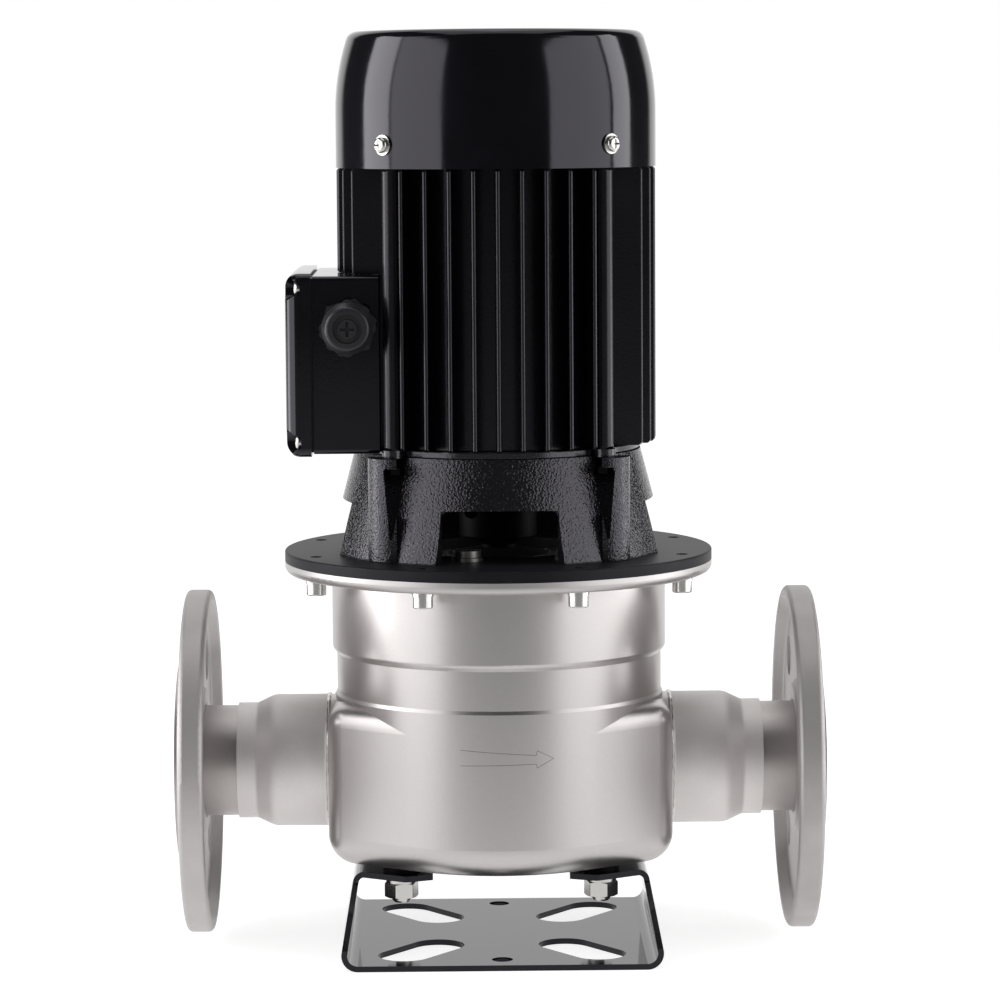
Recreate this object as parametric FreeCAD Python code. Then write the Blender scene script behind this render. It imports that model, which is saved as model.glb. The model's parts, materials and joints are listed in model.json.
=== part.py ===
import FreeCAD, Part
import math
import os

# Vertical in-line circulation pump, in millimetres.
# The origin is on the shaft axis at the underside of the base; X runs from suction to discharge,
# and the front, where the cable gland is, faces -Y.

# General clearances
SEAT = 0.05
RUNNING = 0.3
BOLT_CLEARANCE = 0.25

# Base bracket, bent from one sheet
SHEET = 2.5
BASE_X = 139.6
BASE_Y = 138.6
BRACKET_H = 36.0
UPRIGHT_LEAN_DEG = 10.0
BEND_R = 7.0
TAB_BEND_R = 5.0
TAB_INNER_X = 29.5
TAB_WIDEST_X = 41.0
TAB_HALF_Y = 45.0
TAB_NECK_HALF_Y = 33.0
TAB_END_HALF_Y = 40.0
UPRIGHT_FOOT_Z = 9.0
BASE_HOLE_R = 4.5
BASE_HOLE_SPACING = 116.0
SLOT_X = 34.7
SLOT_Y = 38.4
SLOT_ANGLE_DEG = 54.0
SLOT_CENTRES = 24.0
SLOT_R = 11.5

# Fixings between bracket and casing
STUD_X = 43.2
STUD_Y = 31.4
STUD_R = 4.0
STUD_TIP = 2.2
SPACER_R = 8.0
SPACER_T = 3.0
SPRING_WASHER_R = 6.6
SPRING_WASHER_T = 2.2
BASE_NUT_AF = 13.0
BASE_NUT_H = 6.5

# Pressed casing, in bands from the floor up
WALL = 2.0
CASING_R = 71.6
BODY_H = 72.5
FLOOR_CORNER_R = 13.0
WAIST_R = 70.9
WAIST_H = 19.0
COLLAR_R = 72.8
COLLAR_H = 32.8
COLLAR_CORNER_R = 2.2
PAD_X = 74.5
PAD_BLEND_DEG = 34.0
PAD_CORNER_R = 14.0
PAD_TOP_R = 9.0
PAD_TOP_DROP = 2.5
PORT_RISE = 40.8

# Casing ring, clamped to the stool disc
RING_WIDTH = 20.4
RING_R = COLLAR_R + RING_WIDTH
RING_T = 5.2
RING_EDGE_R = 3.2
RING_WELD = 2.0
BOLT_CIRCLE_INSET = 8.2
BOLT_CIRCLE_R = RING_R - BOLT_CIRCLE_INSET
BOLT_COUNT = 8
BOLT_R = 2.5
BOLT_HEAD_R = 4.25
BOLT_HEAD_H = 5.0
BOLT_SOCKET_AF = 4.0
BOLT_SOCKET_DEPTH = 2.6
BOLT_WASHER_R = 4.6
BOLT_WASHER_T = 1.6

# Pump cover in the ring's recess
COVER_R = 80.0
COVER_FLANGE_T = 2.2
COVER_PLATE_T = 3.0
COVER_CUP_R = 64.5
COVER_WALL = 2.5
COVER_DEPTH = 25.0
O_RING_R = 76.2
O_RING_WIRE = 0.9

# Nozzles: reducer, stub end and loose flange
REDUCER_R = 28.85
REDUCER_LENGTH = 31.5
REDUCER_WALL = 1.8
SOCKET_R = 25.3
SOCKET_LENGTH = 8.3
SHOULDER_LENGTH = 7.5
PIPE_R = 24.15
PIPE_WALL = 2.0
PORT_TO_PORT = 280.0
RAISED_FACE_R = 44.0
RAISED_FACE_T = 3.0
FLANGE_R = 75.0
FLANGE_T = 11.0
FLANGE_PLATE_T = 6.0
FLANGE_RIM = 4.6
FLANGE_EDGE_R = 2.2
FLANGE_BORE_GAP = 0.4
FLANGE_HUB_R = 31.0
FLANGE_BOLT_CIRCLE = 110.0
FLANGE_HOLE_R = 9.0
FLANGE_HOLE_COUNT = 4

# Suction elbow inside the casing
ELBOW_R = 24.0
ELBOW_WALL = 1.8
ELBOW_BEND_R = 27.0
MOUTH_R = 29.0
MOUTH_T = 2.0

# Impeller
IMPELLER_R = 56.0
EYE_R = 20.2
EYE_WALL = 1.8
EYE_BELOW_MOUTH = 4.0
EYE_ABOVE_MOUTH = 4.0
SHROUD_T = 1.6
SHROUD_RISE = 6.0
OUTLET_WIDTH = 9.0
BACK_SHROUD_T = 2.0
HUB_R = 13.0
HUB_H = 14.0
IMPELLER_NUT_AF = 16.0
IMPELLER_NUT_H = 8.0
NUT_WASHER_T = 1.6
VANE_COUNT = 6
VANE_T = 2.0
VANE_ARC_R = 38.0
VANE_ARC_OFFSET = 28.0
WEAR_RING_LIP = 1.8

# Shafts
PUMP_SHAFT_R = 8.0
SHAFT_END_R = 5.0
MOTOR_END_R = 7.0
LOWER_SEAT_R = 8.5
CORE_SHAFT_R = 11.0
UPPER_SEAT_R = 7.5
MOTOR_END_LENGTH = 32.0
COUPLING_R = 17.0
COUPLING_H = 30.0
COUPLING_GRIP = 26.0
CLAMP_SCREW_R = 3.0
CLAMP_SCREW_X = -11.9
KEY_W = 5.0
KEY_H = 4.0

# Shaft seal
SEAL_FACE_R = 13.0
SEAL_RING_H = 4.5
SEAT_RING_H = 7.2
SEAT_CUP_T = 1.7
SEAL_RUN_H = 12.0
SEAL_SHAFT_GAP = 1.2
BELLOWS_R = 11.4

# Motor stool, cast, with its disc
DISC_T = 4.7
STOOL_H = 43.8
CONE_TOP_R = 62.2
CONE_FOOT_R = 73.7
FACE_HALF_X = 55.6
FACE_TOP_HALF_Y = 57.5
FACE_FOOT_HALF_Y = 60.0
FACE_INNER = 43.4
FACE_CORNER_R = 11.0
STOOL_WALL = 8.0
STOOL_TOP_T = 8.0
STOOL_FLOOR_R = 40.0
VENT_PLACES = ((-13.7, -50.0), (30.0, -48.0))
VENT_R = 6.6
VENT_H = 4.6
VENT_SHANK_R = 3.0
WINDOW_ANGLES = (-90, 0, 90)
WINDOW_H = 22.0
WINDOW_TOP_HALF = 24.5
WINDOW_FLARE = 5.5
WINDOW_BROW = 1.5
WINDOW_CHEEK_Y = 60.0
WINDOW_CORNER_R = 3.0
RECESS_INNER = 5.4
RECESS_OUTER = 4.2
RECESS_TIP_X = 1.0
RECESS_TIP_HALF = 0.5
RECESS_H = 30.0
SPIGOT_R = 35.0
SPIGOT_T = 3.5

# Motor frame and end shields
FRAME_H = 118.8
FRAME_CORE_R = 58.0
SHIELD_RIM_STEP = 3.5
SHIELD_RIM_R = FRAME_CORE_R + SHIELD_RIM_STEP
SHIELD_RIM_T = 3.2
FRAME_WALL = 3.6
FRAME_BORE_R = FRAME_CORE_R - FRAME_WALL
FIN_LENGTH = 11.0
FIN_TIP_R = FRAME_CORE_R + FIN_LENGTH
FIN_PITCH = 10.15
FRONT_FINS = 9
SIDE_FINS = 7
FIN_ROOT_T = 2.8
FIN_TIP_T = 1.8
FIN_CHAMFER = 2.2
POST_ANGLE_DEG = 43.5
POST_REACH = 7.2
POST_CIRCLE_R = FRAME_CORE_R + POST_REACH
POST_R = 3.8
POST_WEB_T = 4.4
TIE_BOLT_R = 2.0
TIE_HEAD_AF = 7.0
TIE_HEAD_H = 3.2
TIE_THREAD_L = 5.5
BEARING_WALL = 5.5
LIP_SEAL_R = 13.0
LIP_SEAL_H = 5.0
REGISTER_H = 4.0

# Ball bearings: bore radius, outer radius and width
LOWER_BEARING_OUTER_R = 20.0
LOWER_BEARING_W = 12.0
UPPER_BEARING_OUTER_R = 17.5
UPPER_BEARING_W = 11.0
BALL_COUNT = 7
RACE_T = 3.6
WAVE_WASHER_T = 1.0

# Stator and rotor
STACK_RISE = 30.0
STACK_DROP = 28.8
STATOR_DEPTH = 20.8
STATOR_BORE_R = FRAME_BORE_R - STATOR_DEPTH
SLOT_COUNT = 24
WIRE_SLOT_W = 4.4
WIRE_SLOT_START = 1.8
WIRE_SLOT_IN_R = STATOR_BORE_R + WIRE_SLOT_START
STATOR_YOKE = 8.4
WIRE_SLOT_OUT_R = FRAME_BORE_R - STATOR_YOKE
WINDING_OVERHANG = 14.0
WINDING_SPREAD = 4.0
WINDING_OUT_R = WIRE_SLOT_OUT_R + WINDING_SPREAD
AIR_GAP = 0.5
END_RING_H = 6.0
END_RING_W = 11.1

# Fan and fan cover
FAN_COVER_OVERHANG = 0.2
FAN_COVER_R = FIN_TIP_R + FAN_COVER_OVERHANG
FAN_COVER_H = 58.2
FAN_COVER_T = 1.2
FAN_COVER_ARC_R = 100.0
FAN_COVER_ARC_START = 24.0
FAN_COVER_CORNER_R = 4.5
FAN_COVER_LEAN_DEG = 17.5
GRILLE_SLOTS = 20
GRILLE_SLOT_W = 3.2
GRILLE_RINGS = ((18.0, 33.0), (37.0, 53.0))
COVER_SCREW_RISE = 10.0
COVER_SCREW_R = 2.0
COVER_SCREW_HEAD_R = 3.4
COVER_SCREW_HEAD_H = 2.4
COVER_SCREW_LENGTH = 8.5
COVER_WASHER_R = 4.3
COVER_WASHER_T = 0.8
LUG_W = 12.0
LUG_T = 8.0
LUG_H = 17.0
FAN_TIP_CLEARANCE = 12.2
FAN_R = FAN_COVER_R - FAN_TIP_CLEARANCE
FAN_HUB_R = 11.0
FAN_HUB_H = 17.0
FAN_BLADES = 8
FAN_BLADE_T = 1.8
FAN_BLADE_H = 20.0
FAN_DISC_T = 2.0
FAN_RISE = 13.0
CIRCLIP_T = 1.0

# Terminal box on the suction side of the frame
BOX_REACH = 20.4
BOX_FACE_X = FRAME_CORE_R + BOX_REACH
BOX_ROOT_DEPTH = 7.5
BOX_ROOT_X = FRAME_CORE_R - BOX_ROOT_DEPTH
BOX_HALF_Y = 45.3
BOX_H = 75.5
BOX_DROP = 1.8
BOX_WALL = 2.5
BOX_EDGE_R = 2.0
BOX_SEAT_T = 3.0
GASKET_T = 1.0
GASKET_INSETS = (0.8, 4.0)
BOX_COVER_DEPTH = 10.8
COVER_LIP = 1.2
COVER_EDGE_R = 6.0
COVER_SHELL = 2.5
BOX_SCREW_INSET_Y = 5.0
BOX_SCREW_INSET_Z = 6.3
BOX_SCREW_SEAT = 5.4
BOX_SCREW_R = 2.0
BOX_SCREW_HEAD_R = 3.3
BOX_SCREW_HEAD_H = 2.6
BOX_SCREW_LENGTH = 12.0
BOX_BOSS_R = 4.2
BOX_BOSS_H = 14.0
NOTCH_R = 5.6
CABLE_WAY_R = 8.0
SEAT_SCREW_Y = 22.0
SEAT_SCREW_SPREAD = 28.0
SEAT_SCREW_LENGTH = 5.6
SEAT_HOLE_DEPTH = 6.2
BOARD_HALF_Y = 20.0
BOARD_HALF_Z = 24.0
BOARD_T = 4.0
BOARD_STANDOFF = 3.0
STANDOFF_R = 3.5
BOARD_SCREW_Z = 19.0
BOARD_SCREW_R = 1.5
BOARD_SCREW_BITE = 3.0
BOARD_SCREW_HEAD_R = 2.6
TERMINAL_PITCH_Y = 13.0
TERMINAL_PITCH_Z = 18.0
TERMINAL_R = 2.0
TERMINAL_LENGTH = 7.0
TERMINAL_NUT_AF = 7.0
TERMINAL_NUT_H = 3.0
FENCE_H = 4.0
FENCE_HALF_Z = 14.0
LINK_T = 1.0
LINK_W = 7.0

# Cable gland on the front wall of the box
GLAND_FROM_FACE = 15.0
GLAND_X = BOX_FACE_X - GLAND_FROM_FACE
GLAND_RISE = 54.0
GLAND_THREAD_R = 7.8
GLAND_HEX_AF = 22.0
LOCK_NUT_AF = 19.4
LOCK_NUT_H = 4.0
GLAND_HEX_T = 5.0
GLAND_SLEEVE_R = 8.5
GLAND_SLEEVE_L = 6.0
GLAND_BORE_R = 6.4
GLAND_CAP_RIM_R = 12.0
GLAND_CAP_LOBES = 8
GLAND_CAP_RIM_L = 6.0
GLAND_CAP_L = 12.5
GLAND_CAP_FRONT_R = 9.15
GLAND_MOUTH_R = 6.15
GLAND_PLUG_R = 4.1
GLAND_CROSS_W = 1.2

# Levels and places that follow from the sizes above
CASING_Z = BRACKET_H + SPACER_T
SHOULDER_Z = CASING_Z + BODY_H
COLLAR_Z = SHOULDER_Z + WAIST_H
RING_Z = COLLAR_Z + COLLAR_H
RING_TOP_Z = RING_Z + RING_T
RECESS_Z = RING_TOP_Z - COVER_FLANGE_T
DISC_TOP_Z = RING_TOP_Z + DISC_T
STOOL_TOP_Z = DISC_TOP_Z + STOOL_H
FRAME_Z = STOOL_TOP_Z + SHIELD_RIM_T
FRAME_TOP_Z = FRAME_Z + FRAME_H
TOP_Z = FRAME_TOP_Z + FAN_COVER_H
PORT_Z = CASING_Z + PORT_RISE
REDUCER_END_X = PAD_X + REDUCER_LENGTH
SOCKET_END_X = REDUCER_END_X + SOCKET_LENGTH
FACE_X = PORT_TO_PORT / 2
FLANGE_FACE_X = FACE_X - RAISED_FACE_T - RUNNING
PIPE_START_X = REDUCER_END_X + 1.0
MOUTH_Z = PORT_Z + ELBOW_BEND_R + 12.0
EYE_IN_R = EYE_R - EYE_WALL
EYE_TOP_Z = MOUTH_Z + EYE_ABOVE_MOUTH
BACK_SHROUD_Z = EYE_TOP_Z + SHROUD_RISE + OUTLET_WIDTH
BACK_SHROUD_TOP_Z = BACK_SHROUD_Z + BACK_SHROUD_T
HUB_TOP_Z = BACK_SHROUD_TOP_Z + 1.5
HUB_Z = HUB_TOP_Z - HUB_H
COVER_FLOOR_Z = RING_TOP_Z - COVER_DEPTH
SEAL_FACE_Z = HUB_TOP_Z + SEAL_RUN_H
SEAL_SEAT_R = SEAL_FACE_R + 0.4 + SEAT_CUP_T
SEAL_HOUSING_R = SEAL_SEAT_R + 3.0
SEAL_HOUSING_TOP_Z = SEAL_FACE_Z + SEAT_RING_H + 2.5
TIE_SEAT_Z = STOOL_TOP_Z - STOOL_TOP_T / 2
MOTOR_END_Z = STOOL_TOP_Z - MOTOR_END_LENGTH
COUPLING_Z = STOOL_TOP_Z - 9.0 - COUPLING_H
COUPLING_TOP_Z = COUPLING_Z + COUPLING_H
PUMP_KEY_LEVELS = (HUB_Z + 0.5, HUB_TOP_Z - 2.0)
MOTOR_KEY_LEVELS = (COUPLING_TOP_Z - COUPLING_GRIP + 4.0, COUPLING_TOP_Z - 2.0)
LOWER_BEARING_Z = FRAME_Z + 4.0
LOWER_BEARING_TOP_Z = LOWER_BEARING_Z + LOWER_BEARING_W
STACK_Z = FRAME_Z + STACK_RISE
STACK_TOP_Z = FRAME_TOP_Z - STACK_DROP
ROTOR_R = STATOR_BORE_R - AIR_GAP
END_RING_IN_R = ROTOR_R - END_RING_W
UPPER_BEARING_TOP_Z = FRAME_TOP_Z - 6.5
UPPER_BEARING_Z = UPPER_BEARING_TOP_Z - UPPER_BEARING_W
FAN_Z = FRAME_TOP_Z + FAN_RISE
FAN_TOP_Z = FAN_Z + FAN_HUB_H
SHAFT_TOP_Z = FAN_TOP_Z + 4.0
COVER_SCREW_Z = FRAME_TOP_Z + COVER_SCREW_RISE
POST_X = POST_CIRCLE_R * math.sin(math.radians(POST_ANGLE_DEG))
POST_Y = POST_CIRCLE_R * math.cos(math.radians(POST_ANGLE_DEG))
BOX_Z = FRAME_Z - BOX_DROP
BOX_TOP_Z = BOX_Z + BOX_H
BOX_MID_Z = (BOX_Z + BOX_TOP_Z) / 2
BOX_BACK_R = FRAME_CORE_R + RUNNING
CAVITY_BACK_R = BOX_BACK_R + BOX_SEAT_T
COVER_BACK_X = BOX_FACE_X + GASKET_T
COVER_FACE_X = COVER_BACK_X + BOX_COVER_DEPTH
COVER_HALF_Y = BOX_HALF_Y + COVER_LIP
BOX_SCREW_Y = COVER_HALF_Y - BOX_SCREW_INSET_Y
BOX_SCREW_HALF_Z = BOX_H / 2 + COVER_LIP - BOX_SCREW_INSET_Z
GLAND_Z = BOX_Z + GLAND_RISE
GLAND_WALL_Y = -BOX_HALF_Y
BOARD_X = CAVITY_BACK_R + BOARD_STANDOFF

FAR = 400.0


def at(x, y, z):
    return FreeCAD.Vector(x, y, z)


ORIGIN = at(0, 0, 0)
X_AXIS = at(1, 0, 0)
Y_AXIS = at(0, 1, 0)
Z_AXIS = at(0, 0, 1)


# Building blocks


def block(x0, x1, y0, y1, z0, z1):
    return Part.makeBox(x1 - x0, y1 - y0, z1 - z0, at(x0, y0, z0))


def rod(radius, z0, z1, x=0.0, y=0.0):
    return Part.makeCylinder(radius, z1 - z0, at(x, y, z0), Z_AXIS)


def tube(outer_r, inner_r, z0, z1, x=0.0, y=0.0):
    return rod(outer_r, z0, z1, x, y).cut(rod(inner_r, z0, z1, x, y))


def side_rod(radius, x0, x1, y, z):
    """Cylinder along X."""
    return Part.makeCylinder(radius, x1 - x0, at(x0, y, z), X_AXIS)


def cross_rod(radius, y0, y1, x, z):
    """Cylinder along Y."""
    return Part.makeCylinder(radius, y1 - y0, at(x, y0, z), Y_AXIS)


def outline(corners, place):
    """Closed outline through (u, v, radius) corners; place(u, v) gives the point in space."""
    stops = []
    for index, (u, v, radius) in enumerate(corners):
        corner = at(u, v, 0)
        if radius == 0:
            stops.append((corner, corner, corner))
            continue
        back = corners[index - 1]
        ahead = corners[(index + 1) % len(corners)]
        to_back = (at(back[0], back[1], 0) - corner).normalize()
        to_ahead = (at(ahead[0], ahead[1], 0) - corner).normalize()
        half_angle = to_back.getAngle(to_ahead) / 2
        reach = radius / math.tan(half_angle)
        inward = (to_back + to_ahead).normalize()
        middle = corner + inward * (radius / math.sin(half_angle) - radius)
        stops.append((corner + to_back * reach, middle, corner + to_ahead * reach))
    edges = []
    for index, (start, middle, end) in enumerate(stops):
        if (end - start).Length > 1e-6:
            arc = Part.Arc(place(start.x, start.y), place(middle.x, middle.y), place(end.x, end.y))
            edges.append(arc.toShape())
        following = stops[(index + 1) % len(stops)][0]
        if (following - end).Length > 1e-6:
            edges.append(Part.makeLine(place(end.x, end.y), place(following.x, following.y)))
    return Part.Wire(edges)


def turned(corners):
    """Solid of revolution about Z from (radius, z) or (radius, z, corner radius) points."""
    rounded = [(*corner, 0)[:3] for corner in corners]
    wire = outline(rounded, lambda u, v: at(u, 0, v))
    return Part.Face(wire).revolve(ORIGIN, Z_AXIS, 360)


def turned_along_x(corners):
    """The same about the port axis, from (radius, x) points; x counts outward."""
    rounded = [(*corner, 0)[:3] for corner in corners]
    wire = outline(rounded, lambda u, v: at(v, 0, PORT_Z + u))
    return Part.Face(wire).revolve(at(0, 0, PORT_Z), X_AXIS, 360)


def plate_from(corners, z0, z1):
    """Flat piece with a rounded (x, y, radius) outline."""
    rounded = [(*corner, 0)[:3] for corner in corners]
    wire = outline(rounded, lambda u, v: at(u, v, z0))
    return Part.Face(wire).extrude(at(0, 0, z1 - z0))


def hexagon(across_flats, z0, z1):
    radius = across_flats / math.sqrt(3)
    corners = [(radius * math.cos(k * math.pi / 3), radius * math.sin(k * math.pi / 3)) for k in range(6)]
    return plate_from(corners, z0, z1)


def hex_nut(across_flats, bore_r, z0, z1):
    """Hexagon with both ends turned to a chamfer."""
    blank_r = across_flats * 0.57
    edge = across_flats * 0.07
    envelope = turned([(0, z0), (blank_r - edge, z0), (blank_r, z0 + edge / 2),
                       (blank_r, z1 - edge / 2), (blank_r - edge, z1), (0, z1)])
    return hexagon(across_flats, z0, z1).common(envelope).cut(rod(bore_r, z0, z1))


def moved(shape, x=0.0, y=0.0, z=0.0):
    copy = shape.copy()
    copy.translate(at(x, y, z))
    return copy


def turned_by(shape, degrees, centre=ORIGIN, axis=Z_AXIS):
    copy = shape.copy()
    copy.rotate(centre, axis, degrees)
    return copy


def around(shape, count, first=0.0):
    return [turned_by(shape, first + 360.0 * k / count) for k in range(count)]


def in_corners(shape):
    """Four copies of a piece made at +X, +Y, mirrored to each corner."""
    right = [shape, shape.mirror(ORIGIN, Y_AXIS)]
    return right + [piece.mirror(ORIGIN, X_AXIS) for piece in right]


def on_both_sides(shape):
    """A discharge-side piece and its copy on the suction side."""
    return shape.mirror(ORIGIN, X_AXIS), shape


def to_minus_x(shape, x, y, z):
    """Lay a piece made along +Z so that it points to -X from (x, y, z)."""
    copy = shape.copy()
    copy.rotate(ORIGIN, Y_AXIS, -90)
    copy.translate(at(x, y, z))
    return copy


def to_minus_y(shape, x, y, z):
    """Lay a piece made along +Z so that it points to -Y from (x, y, z)."""
    copy = shape.copy()
    copy.rotate(ORIGIN, X_AXIS, 90)
    copy.translate(at(x, y, z))
    return copy


def rounded_edges(shape, radius, wanted):
    edges = [edge for edge in shape.Edges if wanted(edge)]
    return shape.makeFillet(radius, edges)


def runs_along(edge, axis):
    if edge.Curve.TypeId != "Part::GeomLine":
        return False
    return abs(edge.tangentAt(edge.FirstParameter).dot(axis)) > 0.999


def pan_head(radius, height, z0):
    """Pan head of a screw with its cross recess, standing on z0."""
    head = turned([(0, z0), (radius, z0), (radius, z0 + height, height * 0.7), (0, z0 + height)])
    slot = block(-radius * 0.6, radius * 0.6, -radius * 0.12, radius * 0.12, z0 + height * 0.45, z0 + height)
    return head.cut(slot.fuse(turned_by(slot, 90)))


def pan_screw(shank_r, shank_l, head_r, head_h):
    """Screw with the underside of its head at zero and its tip at -shank_l."""
    return rod(shank_r, -shank_l, 0).fuse(pan_head(head_r, head_h, 0))


def slot_solid(centres, radius, z0, z1):
    """Round-ended slot along X, centred on the Z axis."""
    half = centres / 2
    corners = [(-half - radius, -radius, radius), (half + radius, -radius, radius),
               (half + radius, radius, radius), (-half - radius, radius, radius)]
    return plate_from([(u, v, r * 0.999) for u, v, r in corners], z0, z1)


# Base bracket and its fixings


def base_bracket():
    lean = math.tan(math.radians(UPRIGHT_LEAN_DEG))
    slant = SHEET / math.cos(math.radians(UPRIGHT_LEAN_DEG))
    half = BASE_X / 2
    under_tab = BRACKET_H - SHEET
    outer_top = half - BRACKET_H * lean
    inner_foot = half - SHEET * lean - slant
    inner_top = half - under_tab * lean - slant
    right = [(TAB_INNER_X, BRACKET_H, 0), (TAB_INNER_X, under_tab, 0),
             (inner_top, under_tab, TAB_BEND_R - SHEET), (inner_foot, SHEET, BEND_R - SHEET)]
    left = [(-u, v, r) for u, v, r in reversed(right)]
    outside = [(-outer_top, BRACKET_H, TAB_BEND_R), (-half, 0, BEND_R),
               (half, 0, BEND_R), (outer_top, BRACKET_H, TAB_BEND_R)]
    section = outline(right + left + outside, lambda u, v: at(u, -BASE_Y / 2, v))
    sheet = Part.Face(section).extrude(at(0, BASE_Y, 0))
    shoulder_z = BRACKET_H - TAB_BEND_R
    gusset = outline([(BASE_Y, UPRIGHT_FOOT_Z, 0), (BASE_Y / 2, UPRIGHT_FOOT_Z, 0),
                      (TAB_NECK_HALF_Y, shoulder_z, 0), (TAB_NECK_HALF_Y, FAR, 0), (BASE_Y, FAR, 0)],
                     lambda u, v: at(inner_top - 1.0, u, v))
    beside_upright = Part.Face(gusset).extrude(at(FAR, 0, 0))
    beside_tab = plate_from([(0, BASE_Y), (0, TAB_END_HALF_Y), (TAB_INNER_X, TAB_END_HALF_Y),
                             (TAB_WIDEST_X, TAB_HALF_Y, 3), (inner_top - 1.0, TAB_NECK_HALF_Y),
                             (inner_top - 1.0, BASE_Y)], under_tab - 1.0, BRACKET_H + 1.0)
    slot = turned_by(slot_solid(SLOT_CENTRES, SLOT_R, -1, SHEET + 1), SLOT_ANGLE_DEG)
    slot = moved(slot, SLOT_X, SLOT_Y)
    stud_hole = rod(STUD_R + BOLT_CLEARANCE, SHEET + 1, FAR, STUD_X, STUD_Y)
    cutters = []
    for corner_cut in (beside_upright, beside_tab, slot, stud_hole):
        cutters += in_corners(corner_cut)
    half_spacing = BASE_HOLE_SPACING / 2
    cutters += [rod(BASE_HOLE_R, -1, SHEET + 1, 0, y) for y in (-half_spacing, half_spacing)]
    return sheet.cut(cutters)


def stud_bottom():
    return BRACKET_H - SHEET - SPRING_WASHER_T - BASE_NUT_H - STUD_TIP


def casing_studs():
    tip = stud_bottom()
    stud = turned([(0, tip), (STUD_R - 0.8, tip), (STUD_R, tip + 0.8), (STUD_R, CASING_Z), (0, CASING_Z)])
    return in_corners(moved(stud, STUD_X, STUD_Y))


def stud_spacers():
    return in_corners(tube(SPACER_R, STUD_R + BOLT_CLEARANCE, BRACKET_H, CASING_Z, STUD_X, STUD_Y))


def base_nuts():
    """Nuts under the tabs, each with its spring washer."""
    top = BRACKET_H - SHEET
    washer_z = top - SPRING_WASHER_T
    washer = tube(SPRING_WASHER_R, STUD_R + SEAT, washer_z, top)
    gap = turned_by(block(0, FAR, -0.4, 0.4, washer_z - 1, top + 1), -60)
    nut = turned_by(hex_nut(BASE_NUT_AF, STUD_R + SEAT, washer_z - BASE_NUT_H, washer_z), 12)
    return in_corners(moved(nut, STUD_X, STUD_Y)) + in_corners(moved(washer.cut(gap), STUD_X, STUD_Y))


# Casing, ring and pump cover


def casing_plan(inset):
    """Plan of the casing's lower body: round at front and back, running out tangent to the nozzle pads."""
    blend = math.radians(PAD_BLEND_DEG)
    round_r = CASING_R - inset
    side = PAD_X - inset
    front = round_r / math.cos(blend)
    corner_y = (round_r - side * math.sin(blend)) / math.cos(blend)
    corner_r = PAD_CORNER_R - inset
    return [(0, -front, round_r), (side, -corner_y, corner_r), (side, corner_y, corner_r),
            (0, front, round_r), (-side, corner_y, corner_r), (-side, -corner_y, corner_r)]


def casing_form(inset):
    """Outer form of the casing for inset 0, and the space inside it for inset WALL."""
    floor = CASING_Z + inset
    can = turned([(0, floor), (CASING_R - inset, floor, FLOOR_CORNER_R - inset),
                  (CASING_R - inset, SHOULDER_Z - 1.5), (WAIST_R - inset, SHOULDER_Z),
                  (WAIST_R - inset, COLLAR_Z - COLLAR_CORNER_R),
                  (COLLAR_R - inset, COLLAR_Z, COLLAR_CORNER_R),
                  (COLLAR_R - inset, RECESS_Z), (0, RECESS_Z)])
    pad = plate_from(casing_plan(inset), floor, SHOULDER_Z - PAD_TOP_DROP - inset)
    low = floor + 0.1
    pad = rounded_edges(pad, FLOOR_CORNER_R - inset, lambda edge: edge.BoundBox.ZMax < low)
    high = SHOULDER_Z - PAD_TOP_DROP - inset - 0.1
    pad = rounded_edges(pad, PAD_TOP_R - inset, lambda edge: edge.BoundBox.ZMin > high)
    return can.fuse(pad)


def pump_casing():
    neck = side_rod(REDUCER_R, WAIST_R - FLOOR_CORNER_R, PAD_X, 0, PORT_Z)
    shell = casing_form(0).fuse(on_both_sides(neck)).cut(casing_form(WALL))
    return shell.cut(side_rod(REDUCER_R - REDUCER_WALL, -FAR, FAR, 0, PORT_Z))


def bolt_places(shape):
    return around(moved(shape, BOLT_CIRCLE_R), BOLT_COUNT, 180.0 / BOLT_COUNT)


def casing_ring():
    bore = COLLAR_R + SEAT
    ring = turned([(bore, RING_Z - RING_WELD), (bore + RING_WELD, RING_Z),
                   (RING_R, RING_Z, RING_EDGE_R), (RING_R, RING_TOP_Z),
                   (COVER_R + SEAT, RING_TOP_Z), (COVER_R + SEAT, RECESS_Z), (bore, RECESS_Z)])
    groove = O_RING_WIRE + SEAT
    ring = ring.cut(tube(O_RING_R + groove, O_RING_R - groove, RECESS_Z - 2 * groove, RECESS_Z + 1))
    return ring.cut(bolt_places(rod(BOLT_R + BOLT_CLEARANCE, RING_Z - 1, RING_TOP_Z + 1)))


def casing_bolts():
    seat = RING_Z - BOLT_WASHER_T
    bottom = seat - BOLT_HEAD_H
    head = turned([(0, bottom), (BOLT_HEAD_R, bottom, 0.6), (BOLT_HEAD_R, seat), (0, seat)])
    head = head.cut(hexagon(BOLT_SOCKET_AF, bottom - 1, bottom + BOLT_SOCKET_DEPTH))
    washer = tube(BOLT_WASHER_R, BOLT_R + SEAT, seat, RING_Z)
    return bolt_places(head.fuse(rod(BOLT_R, seat, DISC_TOP_Z - 0.8))) + bolt_places(washer)


def cover_o_ring():
    return Part.makeTorus(O_RING_R, O_RING_WIRE, at(0, 0, RECESS_Z - O_RING_WIRE - SEAT), Z_AXIS)


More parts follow.
